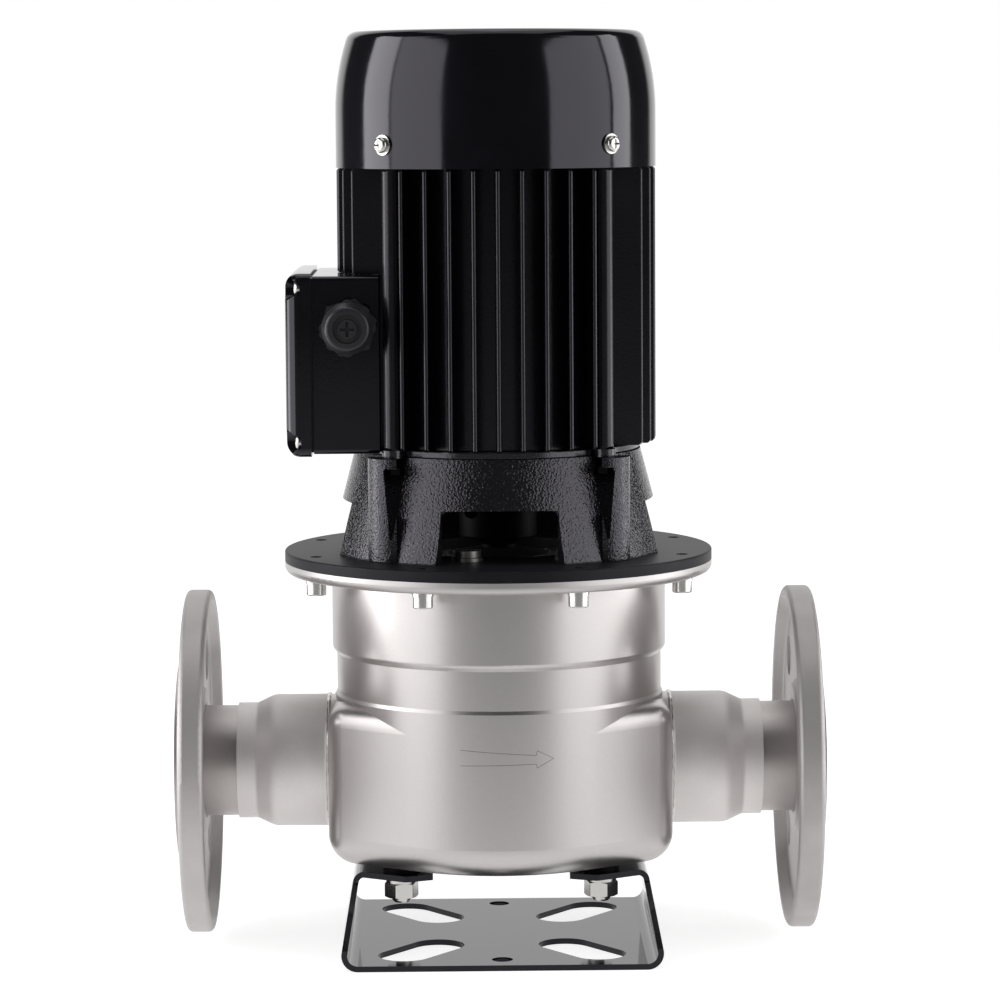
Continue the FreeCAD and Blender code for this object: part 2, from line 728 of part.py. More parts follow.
def pump_cover():
    """Dished cover plate with the housing of the shaft seal in its middle."""
    floor = COVER_FLOOR_Z
    floor_top = floor + COVER_PLATE_T
    cup_in = COVER_CUP_R - COVER_WALL
    seat = SEAL_SEAT_R + SEAT
    seat_top = SEAL_FACE_Z + SEAT_RING_H
    open_r = SEAL_FACE_R + 4.0
    shaft_hole = PUMP_SHAFT_R + 2.5
    return turned([(open_r, floor), (COVER_CUP_R, floor, 4.0), (COVER_CUP_R, RECESS_Z), (COVER_R, RECESS_Z),
                   (COVER_R, RING_TOP_Z), (cup_in, RING_TOP_Z), (cup_in, floor_top, 2.0),
                   (SEAL_HOUSING_R + 2.0, floor_top), (SEAL_HOUSING_R, floor_top + 2.0),
                   (SEAL_HOUSING_R, SEAL_HOUSING_TOP_Z), (shaft_hole, SEAL_HOUSING_TOP_Z),
                   (shaft_hole, seat_top), (seat, seat_top), (seat, SEAL_FACE_Z - SEAT),
                   (open_r, SEAL_FACE_Z - SEAT)])


# Nozzles, made on the discharge side


def nozzle_reducer():
    inner = REDUCER_R - REDUCER_WALL
    throat = PIPE_R - PIPE_WALL
    socket = PIPE_R + SEAT
    shoulder_x = REDUCER_END_X - SHOULDER_LENGTH
    return turned_along_x([(inner, PAD_X), (REDUCER_R + 0.6, PAD_X), (REDUCER_R, PAD_X + 1.5),
                           (REDUCER_R, shoulder_x, 9.0), (SOCKET_R, REDUCER_END_X, 3.0),
                           (SOCKET_R, SOCKET_END_X), (socket, SOCKET_END_X), (socket, PIPE_START_X),
                           (throat, PIPE_START_X), (inner, shoulder_x - 3.0)])


def nozzle_stub():
    """Pipe end with its raised face; the loose flange turns on it."""
    bore = PIPE_R - PIPE_WALL
    back = FACE_X - RAISED_FACE_T
    return turned_along_x([(bore, PIPE_START_X + SEAT), (PIPE_R, PIPE_START_X + SEAT), (PIPE_R, back, 1.5),
                           (RAISED_FACE_R, back), (RAISED_FACE_R, FACE_X), (bore, FACE_X)])


def nozzle_flange():
    """Pressed loose flange: flat towards the joint, dished towards the pump inside its rim."""
    bore = PIPE_R + FLANGE_BORE_GAP
    back = FLANGE_FACE_X - FLANGE_T
    dish = FLANGE_FACE_X - FLANGE_PLATE_T
    rim = FLANGE_R - FLANGE_RIM
    disc = turned_along_x([(bore, dish - 2.0, 1.0), (FLANGE_HUB_R, dish - 2.0), (FLANGE_HUB_R + 3.0, dish),
                           (rim - 3.5, dish, 2.5), (rim, back, 1.0), (FLANGE_R, back, FLANGE_EDGE_R),
                           (FLANGE_R, FLANGE_FACE_X, FLANGE_EDGE_R), (bore + 2.0, FLANGE_FACE_X),
                           (bore, FLANGE_FACE_X - 2.0)])
    holes = []
    for k in range(FLANGE_HOLE_COUNT):
        angle = math.radians(360.0 * (k + 0.5) / FLANGE_HOLE_COUNT)
        reach = FLANGE_BOLT_CIRCLE / 2
        holes.append(side_rod(FLANGE_HOLE_R, back - 1, FACE_X, reach * math.sin(angle),
                              PORT_Z + reach * math.cos(angle)))
    return disc.cut(holes)


# Wet parts


def elbow_form(radius):
    """Elbow from the suction nozzle to the impeller eye, as a solid rod of this radius."""
    bend_top = PORT_Z + ELBOW_BEND_R
    inlet = side_rod(radius, -PAD_X, -ELBOW_BEND_R, 0, PORT_Z)
    circle = Part.Wire(Part.makeCircle(radius, at(-ELBOW_BEND_R, 0, PORT_Z), X_AXIS))
    bend = Part.Face(circle).revolve(at(-ELBOW_BEND_R, 0, bend_top), Y_AXIS, -90)
    riser = rod(radius, bend_top, MOUTH_Z)
    return inlet.fuse([bend, riser])


def suction_elbow():
    """Elbow with a ring that fits the bore of the nozzle and a lip that carries the wear ring."""
    ring = side_rod(REDUCER_R - REDUCER_WALL - SEAT, -PAD_X, MOUTH_T - PAD_X + WALL, 0, PORT_Z)
    lip = rod(MOUTH_R, MOUTH_Z - MOUTH_T, MOUTH_Z)
    return elbow_form(ELBOW_R).fuse([ring, lip]).cut(elbow_form(ELBOW_R - ELBOW_WALL))


def wear_ring():
    running = EYE_R + RUNNING
    seat = ELBOW_R - ELBOW_WALL - SEAT
    return turned([(running, MOUTH_Z - EYE_BELOW_MOUTH), (seat, MOUTH_Z - EYE_BELOW_MOUTH), (seat, MOUTH_Z),
                   (seat + 3.0, MOUTH_Z), (seat + 3.0, MOUTH_Z + WEAR_RING_LIP),
                   (running, MOUTH_Z + WEAR_RING_LIP)])


def impeller_passage():
    """Space between the two shrouds, reaching a little into each."""
    inlet_r = HUB_R + 3.5
    return turned([(inlet_r, EYE_TOP_Z + 0.3), (IMPELLER_R, EYE_TOP_Z + SHROUD_RISE + 0.8),
                   (IMPELLER_R, BACK_SHROUD_Z + 0.5), (inlet_r, BACK_SHROUD_Z + 0.5)])


def impeller():
    """Closed impeller: front shroud with its eye neck, back shroud with hub, backswept vanes between."""
    front = turned([(EYE_IN_R, MOUTH_Z - EYE_BELOW_MOUTH), (EYE_R, MOUTH_Z - EYE_BELOW_MOUTH),
                    (EYE_R, EYE_TOP_Z, 3.0), (IMPELLER_R, EYE_TOP_Z + SHROUD_RISE),
                    (IMPELLER_R, EYE_TOP_Z + SHROUD_RISE + SHROUD_T), (EYE_IN_R, EYE_TOP_Z + SHROUD_T, 2.0)])
    back = rod(IMPELLER_R, BACK_SHROUD_Z, BACK_SHROUD_TOP_Z).fuse(rod(HUB_R, HUB_Z, HUB_TOP_Z))
    arc = tube(VANE_ARC_R + VANE_T / 2, VANE_ARC_R - VANE_T / 2, HUB_Z, HUB_TOP_Z, VANE_ARC_OFFSET)
    blade = arc.common(block(-FAR, FAR, 0, FAR, 0, FAR)).common(impeller_passage())
    wheel = front.fuse([back] + around(blade, VANE_COUNT))
    return wheel.cut([rod(PUMP_SHAFT_R + SEAT, 0, FAR), key_slot(PUMP_SHAFT_R, HUB_Z, HUB_TOP_Z)])


def impeller_nut():
    """Nut and washer below the hub."""
    washer = tube(HUB_R - 2.0, SHAFT_END_R + SEAT, HUB_Z - NUT_WASHER_T, HUB_Z)
    top = HUB_Z - NUT_WASHER_T
    return [hex_nut(IMPELLER_NUT_AF, SHAFT_END_R + SEAT, top - IMPELLER_NUT_H, top), washer]


# Shaft seal


def seal_seat():
    back = SEAL_FACE_Z + SEAT_RING_H - SEAT_CUP_T
    return tube(SEAL_FACE_R, PUMP_SHAFT_R + SEAL_SHAFT_GAP, SEAL_FACE_Z, back)


def seal_seat_cup():
    top = SEAL_FACE_Z + SEAT_RING_H - SEAT
    inner = SEAL_FACE_R + SEAT
    bore = PUMP_SHAFT_R + SEAL_SHAFT_GAP
    return turned([(inner, SEAL_FACE_Z + 0.5), (SEAL_SEAT_R, SEAL_FACE_Z + 0.5), (SEAL_SEAT_R, top),
                   (bore, top), (bore, top - SEAT_CUP_T + 2 * SEAT),
                   (inner, top - SEAT_CUP_T + 2 * SEAT)])


def seal_ring():
    face = SEAL_FACE_Z - SEAT
    bottom = SEAL_FACE_Z - SEAL_RING_H
    return turned([(PUMP_SHAFT_R + 0.6, bottom), (SEAL_FACE_R, bottom), (SEAL_FACE_R, face - 1.5),
                   (SEAL_FACE_R - 1.0, face), (PUMP_SHAFT_R + 0.6, face)])


def seal_bellows():
    top = SEAL_FACE_Z - SEAL_RING_H - SEAT
    bore = PUMP_SHAFT_R + SEAT
    low = HUB_TOP_Z + SEAT
    waist = bore + 1.0
    return turned([(bore, low), (BELLOWS_R, low), (BELLOWS_R, low + 2.0), (waist, low + 2.6),
                   (waist, top - 2.6), (BELLOWS_R, top - 2.0), (BELLOWS_R, top), (bore, top)])


# Stub shaft and motor shaft


def key_slot(shaft_r, z0, z1):
    """Room for a key, half in the shaft and half in its hub."""
    half = KEY_W / 2 + SEAT
    depth = KEY_H / 2 + SEAT
    return block(shaft_r - depth, shaft_r + depth, -half, half, z0 - SEAT, z1 + SEAT)


def key(shaft_r, z0, z1):
    return block(shaft_r - KEY_H / 2, shaft_r + KEY_H / 2, -KEY_W / 2, KEY_W / 2, z0, z1)


def shaft_keys():
    """Key of the impeller and key of the coupling."""
    return [key(PUMP_SHAFT_R, *PUMP_KEY_LEVELS), key(MOTOR_END_R, *MOTOR_KEY_LEVELS)]


def stub_shaft():
    """Pump shaft with the clamp coupling that grips the motor shaft."""
    tip = HUB_Z - NUT_WASHER_T - IMPELLER_NUT_H - 1.0
    shaft = turned([(0, tip), (SHAFT_END_R - 0.8, tip), (SHAFT_END_R, tip + 0.8), (SHAFT_END_R, HUB_Z),
                    (PUMP_SHAFT_R, HUB_Z), (PUMP_SHAFT_R, COUPLING_Z - 3.0), (PUMP_SHAFT_R + 3.0, COUPLING_Z),
                    (COUPLING_R, COUPLING_Z, 1.0), (COUPLING_R, COUPLING_TOP_Z, 1.0), (0, COUPLING_TOP_Z)])
    grip = COUPLING_TOP_Z - COUPLING_GRIP
    bore = rod(MOTOR_END_R + SEAT, grip, COUPLING_TOP_Z + 1)
    split = block(-FAR, 0, -0.8, 0.8, grip + 4, COUPLING_TOP_Z + 1)
    slots = [key_slot(MOTOR_END_R, grip, COUPLING_TOP_Z), key_slot(PUMP_SHAFT_R, *PUMP_KEY_LEVELS)]
    screw_holes = [cross_rod(CLAMP_SCREW_R + SEAT, -FAR, FAR, CLAMP_SCREW_X, z) for z in clamp_screw_levels()]
    return shaft.cut([bore, split] + slots + screw_holes)


def clamp_screw_levels():
    return (COUPLING_Z + COUPLING_H * 0.4, COUPLING_Z + COUPLING_H * 0.75)


def coupling_screws():
    half = math.sqrt(COUPLING_R ** 2 - CLAMP_SCREW_X ** 2)
    socket = hexagon(CLAMP_SCREW_R, half - 3.0, half)
    screw = rod(CLAMP_SCREW_R, -half, half - 1.0).cut(socket)
    return [to_minus_y(screw, CLAMP_SCREW_X, 0, z) for z in clamp_screw_levels()]


def slinger():
    bottom = COUPLING_Z - 7.0
    bore = PUMP_SHAFT_R + SEAT
    rim = COUPLING_R + 5.0
    return turned([(bore, bottom), (rim, bottom - 1.0), (rim, bottom), (PUMP_SHAFT_R + 4.0, bottom + 2.0),
                   (bore, bottom + 2.6)])


def motor_shaft():
    shaft = turned([(0, MOTOR_END_Z), (MOTOR_END_R - 0.8, MOTOR_END_Z), (MOTOR_END_R, MOTOR_END_Z + 0.8),
                    (MOTOR_END_R, STOOL_TOP_Z - 1.0), (LOWER_SEAT_R, STOOL_TOP_Z - 1.0),
                    (LOWER_SEAT_R, LOWER_BEARING_TOP_Z), (CORE_SHAFT_R, LOWER_BEARING_TOP_Z),
                    (CORE_SHAFT_R, UPPER_BEARING_Z), (UPPER_SEAT_R, UPPER_BEARING_Z),
                    (UPPER_SEAT_R, UPPER_BEARING_TOP_Z + 2.0), (MOTOR_END_R, UPPER_BEARING_TOP_Z + 2.0),
                    (MOTOR_END_R, SHAFT_TOP_Z - 0.8), (MOTOR_END_R - 0.8, SHAFT_TOP_Z), (0, SHAFT_TOP_Z)])
    groove = tube(MOTOR_END_R + 1, MOTOR_END_R - 0.6, FAN_TOP_Z, FAN_TOP_Z + CIRCLIP_T + 2 * SEAT)
    return shaft.cut([key_slot(MOTOR_END_R, *MOTOR_KEY_LEVELS), groove])


# Bearings


def bearing_ball_r(bore_r, outer_r):
    return (outer_r - bore_r) / 2 - RACE_T + 1.4


def bearing_race(bore_r, outer_r, width, z, inner):
    pitch = (bore_r + outer_r) / 2
    track = Part.makeTorus(pitch, bearing_ball_r(bore_r, outer_r) + RUNNING, at(0, 0, z + width / 2), Z_AXIS)
    if inner:
        return tube(bore_r + RACE_T, bore_r + SEAT / 2, z, z + width).cut(track)
    return tube(outer_r, outer_r - RACE_T, z, z + width).cut(track)


def bearing_balls(bore_r, outer_r, width, z):
    """Balls in their cage, which run as one set."""
    pitch = (bore_r + outer_r) / 2
    ball_r = bearing_ball_r(bore_r, outer_r)
    middle = z + width / 2
    ball = Part.makeSphere(ball_r, at(pitch, 0, middle))
    cage = tube(pitch + 0.6, pitch - 0.6, middle - ball_r * 0.6, middle + ball_r * 0.6)
    return cage.fuse(around(ball, BALL_COUNT))


def bearings():
    """Bore radius, outer radius, width and level of the two bearings."""
    return ((LOWER_SEAT_R, LOWER_BEARING_OUTER_R, LOWER_BEARING_W, LOWER_BEARING_Z),
            (UPPER_SEAT_R, UPPER_BEARING_OUTER_R, UPPER_BEARING_W, UPPER_BEARING_Z))


def bearing_inner_rings():
    return [bearing_race(*sizes, True) for sizes in bearings()]


def bearing_outer_rings():
    return [bearing_race(*sizes, False) for sizes in bearings()]


def bearing_ball_sets():
    return [bearing_balls(*sizes) for sizes in bearings()]


# Motor stool


def stool_face_section(half_y, z):
    corners = [(-FACE_HALF_X, -half_y, FACE_CORNER_R), (FACE_HALF_X, -half_y, FACE_CORNER_R),
               (FACE_HALF_X, half_y, FACE_CORNER_R), (-FACE_HALF_X, half_y, FACE_CORNER_R)]
    return outline(corners, lambda u, v: at(u, v, z))


def stool_window():
    """Cutter for the front window: straight opening with drafted cheeks outside."""
    foot = DISC_TOP_Z
    top = DISC_TOP_Z + WINDOW_H
    half = WINDOW_TOP_HALF
    wide = half + WINDOW_FLARE
    brow = half + WINDOW_BROW
    corner = WINDOW_CORNER_R
    straight = outline([(-half, foot, 0), (half, foot, 0), (half, top, corner), (-half, top, corner)],
                       lambda u, v: at(u, -FAR, v))
    opening = Part.Face(straight).extrude(at(0, FAR - SPIGOT_R, 0))
    brow_z = top + WINDOW_BROW
    near = outline([(-wide, foot, 0), (wide, foot, 0), (brow, brow_z, 0), (-brow, brow_z, 0)],
                   lambda u, v: at(u, -CONE_FOOT_R - 3.0, v))
    deep = outline([(-half, foot, 0), (half, foot, 0), (half, top, 0), (-half, top, 0)],
                   lambda u, v: at(u, -WINDOW_CHEEK_Y, v))
    return opening.fuse(Part.makeLoft([near, deep], True, True))


def stool_corners():
    """Upright corner blocks that stand out of the cone round the tie bolts."""
    faces = Part.makeLoft([stool_face_section(FACE_FOOT_HALF_Y, DISC_TOP_Z - 0.5),
                           stool_face_section(FACE_TOP_HALF_Y, STOOL_TOP_Z)], True, True)
    return faces.cut([block(-FACE_INNER, FACE_INNER, -FAR, FAR, 0, FAR),
                      block(-FAR, FAR, -FACE_INNER, FACE_INNER, 0, FAR)])


def stool_recess():
    """Tapered groove that holds a tie bolt's head and runs out down the cone below it."""
    tip_z = TIE_SEAT_Z - RECESS_H
    tip_r = CONE_TOP_R + (CONE_FOOT_R - CONE_TOP_R) * (STOOL_TOP_Z - tip_z) / STOOL_H
    tip_x = POST_X + RECESS_TIP_X
    tip_y = math.sqrt(tip_r ** 2 - tip_x ** 2)
    inner = POST_Y - TIE_HEAD_AF * 0.7
    top = [(POST_X - RECESS_INNER, inner), (POST_X + RECESS_OUTER, inner),
           (POST_X + RECESS_OUTER, CONE_FOOT_R), (POST_X - RECESS_INNER, CONE_FOOT_R)]
    tip = [(tip_x - RECESS_TIP_HALF, tip_y), (tip_x + RECESS_TIP_HALF, tip_y),
           (tip_x + RECESS_TIP_HALF, CONE_FOOT_R), (tip_x - RECESS_TIP_HALF, CONE_FOOT_R)]
    wires = [outline([(*corner, 0) for corner in top], lambda u, v: at(u, v, TIE_SEAT_Z)),
             outline([(*corner, 0) for corner in tip], lambda u, v: at(u, v, tip_z))]
    return Part.makeLoft(wires, True, True)


def vent_places(shape):
    return [moved(shape, x, y) for x, y in VENT_PLACES]


def vent_plugs():
    """Bright plugs on the disc, seen through the front window."""
    z0 = DISC_TOP_Z
    head = turned([(0, z0), (VENT_R, z0), (VENT_R, z0 + 1.4), (VENT_R - 0.6, z0 + 1.7),
                   (VENT_R - 0.6, z0 + VENT_H, 0.5), (0, z0 + VENT_H)])
    slot = block(-VENT_R, VENT_R, -0.6, 0.6, z0 + VENT_H - 1.4, z0 + VENT_H + 1)
    return vent_places(head.cut(slot).fuse(rod(VENT_SHANK_R, RING_TOP_Z - 2.0, z0)))


def motor_stool():
    cone = turned([(0, DISC_TOP_Z - 0.5), (CONE_FOOT_R, DISC_TOP_Z - 0.5), (CONE_FOOT_R, DISC_TOP_Z),
                   (CONE_TOP_R, STOOL_TOP_Z), (0, STOOL_TOP_Z)])
    disc = turned([(0, RING_TOP_Z), (RING_R, RING_TOP_Z), (RING_R, DISC_TOP_Z, 0.8), (0, DISC_TOP_Z)])
    hollow = turned([(0, DISC_TOP_Z), (CONE_FOOT_R - STOOL_WALL, DISC_TOP_Z),
                     (CONE_TOP_R - STOOL_WALL, STOOL_TOP_Z - STOOL_TOP_T), (0, STOOL_TOP_Z - STOOL_TOP_T)])
    bore = rod(SPIGOT_R + SEAT, STOOL_TOP_Z - STOOL_TOP_T - 1, STOOL_TOP_Z + 1)
    floor_hole = rod(STOOL_FLOOR_R, RING_TOP_Z - 1, DISC_TOP_Z + 1)
    body = cone.fuse(stool_corners()).cut([hollow, bore])
    windows = [turned_by(stool_window(), angle) for angle in WINDOW_ANGLES]
    body = body.cut(windows).cut(in_corners(stool_recess()))
    body = body.fuse(disc).cut(floor_hole)
    tie_hole = rod(TIE_BOLT_R + BOLT_CLEARANCE, TIE_SEAT_Z - 4, STOOL_TOP_Z + 1, POST_X, POST_Y)
    bolt_hole = rod(BOLT_R + SEAT, RING_TOP_Z - 1, DISC_TOP_Z + 1)
    vent_holes = vent_places(rod(VENT_SHANK_R + SEAT, RING_TOP_Z - 1, DISC_TOP_Z + 1))
    return body.cut(bolt_places(bolt_hole) + in_corners(tie_hole) + vent_holes)


# Motor frame and shields


def fin(place, tip):
    """Fin towards +Y at x = place, with a drafted section and a full round tip."""
    root = FIN_ROOT_T / 2
    end = FIN_TIP_T / 2
    foot = math.sqrt(FRAME_CORE_R ** 2 - place ** 2) - 2.0
    tip_r = end * 0.95
    corners = [(place - root, foot), (place + root, foot),
               (place + end, tip, tip_r), (place - end, tip, tip_r)]
    return plate_from(corners, FRAME_Z, FRAME_TOP_Z)


def fin_bank(count):
    half = (count - 1) / 2
    places = [(k - half) * FIN_PITCH for k in range(count)]
    return [fin(place, math.sqrt(FIN_TIP_R ** 2 - place ** 2)) for place in places]


def corner_post():
    post = rod(POST_R, FRAME_Z, FRAME_TOP_Z, POST_X, POST_Y)
    web = block(FRAME_CORE_R - 2, POST_CIRCLE_R, -POST_WEB_T / 2, POST_WEB_T / 2, FRAME_Z, FRAME_TOP_Z)
    return post.fuse(turned_by(web, 90 - POST_ANGLE_DEG))


def box_screw_places(shape):
    """Copies of a screw made at the box's back wall, pointing to -X."""
    seat_x = -math.sqrt(CAVITY_BACK_R ** 2 - SEAT_SCREW_Y ** 2)
    places = [(y, z) for y in (-SEAT_SCREW_Y, SEAT_SCREW_Y) for z in (-SEAT_SCREW_SPREAD, SEAT_SCREW_SPREAD)]
    return [to_minus_x(shape, seat_x, y, BOX_MID_Z + z) for y, z in places]


def motor_frame():
    front = fin_bank(FRONT_FINS)
    side = [turned_by(piece, -90) for piece in fin_bank(SIDE_FINS)]
    back = [turned_by(piece, 180) for piece in front]
    left = [turned_by(piece, 90) for piece in fin_bank(SIDE_FINS)]
    box_room = block(-FAR, -BOX_ROOT_X + RUNNING, -BOX_HALF_Y - 1, BOX_HALF_Y + 1, 0, BOX_TOP_Z + RUNNING)
    left = [piece.cut(box_room) for piece in left]
    core = rod(FRAME_CORE_R, FRAME_Z, FRAME_TOP_Z)
    body = core.fuse(front + side + back + left + in_corners(corner_post()))
    reach = FIN_TIP_R + 1.0
    low = FRAME_Z + FIN_CHAMFER
    high = FRAME_TOP_Z - FIN_CHAMFER
    envelope = turned([(0, FRAME_Z), (reach - FIN_CHAMFER, FRAME_Z), (reach, low), (reach, high),
                       (reach - FIN_CHAMFER, FRAME_TOP_Z), (0, FRAME_TOP_Z)])
    cutters = [rod(FRAME_BORE_R, FRAME_Z, FRAME_TOP_Z), side_rod(CABLE_WAY_R, -FAR, 0, 0, BOX_MID_Z)]
    cutters += in_corners(rod(TIE_BOLT_R + BOLT_CLEARANCE, 0, FAR, POST_X, POST_Y))
    cutters += box_screw_places(rod(BOX_SCREW_R + SEAT, -SEAT_HOLE_DEPTH, 5))
    return body.common(envelope).cut(cutters)


def shield_lugs(z0, z1):
    """Round lugs on short arms at the four tie bolts."""
    eye = rod(POST_R + 0.8, z0, z1, POST_CIRCLE_R)
    arm = block(SHIELD_RIM_R - 6, POST_CIRCLE_R, -POST_WEB_T / 2, POST_WEB_T / 2, z0, z1)
    hole = rod(TIE_BOLT_R + BOLT_CLEARANCE, z0, z1, POST_CIRCLE_R)
    return in_corners(turned_by(eye.fuse(arm).cut(hole), 90 - POST_ANGLE_DEG))


def lower_end_shield():
    """Flange shield with the spigot for the stool and the housing of the lower bearing."""
    housing_r = LOWER_BEARING_OUTER_R + BEARING_WALL
    web_top = LOWER_BEARING_Z - SEAT
    register = FRAME_BORE_R - SEAT
    spigot_end = STOOL_TOP_Z - SPIGOT_T
    shield = turned([(LIP_SEAL_R, spigot_end), (SPIGOT_R, spigot_end), (SPIGOT_R, STOOL_TOP_Z),
                     (SHIELD_RIM_R, STOOL_TOP_Z, 0.6), (SHIELD_RIM_R, FRAME_Z, 0.6), (register, FRAME_Z),
                     (register, FRAME_Z + REGISTER_H), (register - 4.0, FRAME_Z + REGISTER_H),
                     (register - 4.0, FRAME_Z + 1.5), (housing_r, FRAME_Z + 1.5),
                     (housing_r, LOWER_BEARING_TOP_Z), (LOWER_BEARING_OUTER_R + SEAT, LOWER_BEARING_TOP_Z),
                     (LOWER_BEARING_OUTER_R + SEAT, web_top), (LIP_SEAL_R, web_top)])
    return shield.fuse(shield_lugs(STOOL_TOP_Z, FRAME_Z))


def shaft_lip_seal():
    z0 = STOOL_TOP_Z - 1.0
    return turned([(LOWER_SEAT_R + RUNNING, z0 + 1.5), (LIP_SEAL_R - 1.5, z0), (LIP_SEAL_R - SEAT, z0),
                   (LIP_SEAL_R - SEAT, z0 + LIP_SEAL_H), (LIP_SEAL_R - 1.5, z0 + LIP_SEAL_H),
                   (LOWER_SEAT_R + RUNNING, z0 + 3.0)])


def upper_end_shield():
    """Shield at the fan end, with lugs that carry the fan cover."""
    housing_r = UPPER_BEARING_OUTER_R + BEARING_WALL
    register = FRAME_BORE_R - SEAT
    top = FRAME_TOP_Z + SHIELD_RIM_T
    under_web = FRAME_TOP_Z - 5.0
    shield = turned([(MOTOR_END_R + 1.5, under_web), (UPPER_BEARING_OUTER_R + SEAT, under_web),
                     (UPPER_BEARING_OUTER_R + SEAT, UPPER_BEARING_Z), (housing_r, UPPER_BEARING_Z),
                     (housing_r, under_web), (register, under_web), (register, FRAME_TOP_Z),
                     (SHIELD_RIM_R, FRAME_TOP_Z), (SHIELD_RIM_R, top, 1.0), (MOTOR_END_R + 1.5, top)])
    cover_inner = FAN_COVER_R - FAN_COVER_T - SEAT
    lug = block(cover_inner - LUG_T, cover_inner + 2, -LUG_W / 2, LUG_W / 2, FRAME_TOP_Z, FRAME_TOP_Z + LUG_H)
    lug = lug.cut(tube(FAR, cover_inner, 0, 2 * FAR))
    lug = lug.cut(side_rod(COVER_SCREW_R + SEAT, cover_inner - LUG_T - 1, FAR, 0, COVER_SCREW_Z))
    lug = lug.cut(rod(TIE_BOLT_R + SEAT, 0, FRAME_TOP_Z + TIE_THREAD_L + 0.5, POST_CIRCLE_R))
    return shield.fuse(in_corners(turned_by(lug, 90 - POST_ANGLE_DEG)))


def wave_washer():
    bottom = UPPER_BEARING_TOP_Z + 0.3
    return tube(UPPER_BEARING_OUTER_R, UPPER_BEARING_OUTER_R - 4.0, bottom, bottom + WAVE_WASHER_T)


def tie_bolts():
    """Long bolts from the stool through the frame's posts into the upper shield."""
    head = turned_by(hex_nut(TIE_HEAD_AF, TIE_BOLT_R * 0.4, TIE_SEAT_Z - TIE_HEAD_H, TIE_SEAT_Z), 15)
    bolt = head.fuse(rod(TIE_BOLT_R, TIE_SEAT_Z - TIE_HEAD_H + 1.0, FRAME_TOP_Z + TIE_THREAD_L))
    return in_corners(moved(bolt, POST_X, POST_Y))


# Stator and rotor


def stator_core():
    core = tube(FRAME_BORE_R - SEAT, STATOR_BORE_R, STACK_Z, STACK_TOP_Z)
    half = WIRE_SLOT_W / 2
    slot = block(WIRE_SLOT_IN_R, WIRE_SLOT_OUT_R, -half, half, STACK_Z, STACK_TOP_Z)
    return core.cut(around(slot, SLOT_COUNT))


def stator_windings():
    """Copper in the slots, with the moulded overhang at both ends of the stack."""
    half = WIRE_SLOT_W / 2 - 0.1
    inner = WIRE_SLOT_IN_R + 0.1
    bar = block(inner, WIRE_SLOT_OUT_R - 0.1, -half, half, STACK_Z - 1, STACK_TOP_Z + 1)
    low = STACK_Z - WINDING_OVERHANG
    lower_head = turned([(inner, low, 3), (WINDING_OUT_R, low, 4), (WINDING_OUT_R, STACK_Z - 0.5),
                         (inner, STACK_Z - 0.5)])
    high = STACK_TOP_Z + WINDING_OVERHANG
    upper_head = turned([(inner, STACK_TOP_Z + 0.5), (WINDING_OUT_R, STACK_TOP_Z + 0.5),
                         (WINDING_OUT_R, high, 4), (inner, high, 3)])
    return lower_head.fuse([upper_head] + around(bar, SLOT_COUNT))


def rotor_core():
    return tube(ROTOR_R, CORE_SHAFT_R + SEAT, STACK_Z, STACK_TOP_Z)


def rotor_end_rings():
    rings = []
    for z0 in (STACK_Z - END_RING_H, STACK_TOP_Z):
        rings.append(tube(ROTOR_R - 0.5, END_RING_IN_R, z0, z0 + END_RING_H))
    return rings


# Fan end


def fan():
    hub = tube(FAN_HUB_R, MOTOR_END_R + SEAT, FAN_Z, FAN_TOP_Z)
    disc = tube(FAN_R * 0.8, FAN_HUB_R - 1, FAN_Z, FAN_Z + FAN_DISC_T)
    half = FAN_BLADE_T / 2
    side = outline([(FAN_HUB_R - 1, FAN_Z, 0), (FAN_R, FAN_Z + 2, 0), (FAN_R, FAN_Z + FAN_BLADE_H, 0),
                    (FAN_R * 0.6, FAN_Z + FAN_BLADE_H, 0), (FAN_HUB_R - 1, FAN_TOP_Z - 3, 0)],
                   lambda u, v: at(u, -half, v))
    blade = Part.Face(side).extrude(at(0, FAN_BLADE_T, 0))
    return hub.fuse([disc] + around(blade, FAN_BLADES))


def fan_circlip():
    z0 = FAN_TOP_Z + SEAT
    ring = tube(MOTOR_END_R + 2.2, MOTOR_END_R - 0.6 + SEAT, z0, z0 + CIRCLIP_T)
    return ring.cut(block(0, FAR, -2, 2, z0 - 1, z0 + 3))


def fan_cover_form(inset):
    """Fan cover as a solid form; the side leans in through one large arc."""
    lean = math.radians(FAN_COVER_LEAN_DEG)
    side = FAN_COVER_R - inset
    arc_r = FAN_COVER_ARC_R - inset
    top = TOP_Z - inset
    bend_z = FRAME_TOP_Z + FAN_COVER_ARC_START + arc_r * math.tan(lean / 2)
    brow = side - (top - bend_z) * math.tan(lean)
    return turned([(0, FRAME_TOP_Z), (side, FRAME_TOP_Z), (side, bend_z, arc_r),
                   (brow, top, FAN_COVER_CORNER_R - inset), (0, top)])


def fan_cover():
    shell = fan_cover_form(0).cut(fan_cover_form(FAN_COVER_T))
    half = GRILLE_SLOT_W / 2
    slots = []
    for ring, (near, far) in enumerate(GRILLE_RINGS):
        slot = block(near, far, -half, half, TOP_Z - FAN_COVER_T - 1, TOP_Z + 1)
        slots += around(slot, GRILLE_SLOTS if ring else GRILLE_SLOTS // 2)
    hole = side_rod(COVER_SCREW_R + BOLT_CLEARANCE, FAN_R, FAR, 0, COVER_SCREW_Z)
    holes = in_corners(turned_by(hole, 90 - POST_ANGLE_DEG))
    return shell.cut(slots + holes)


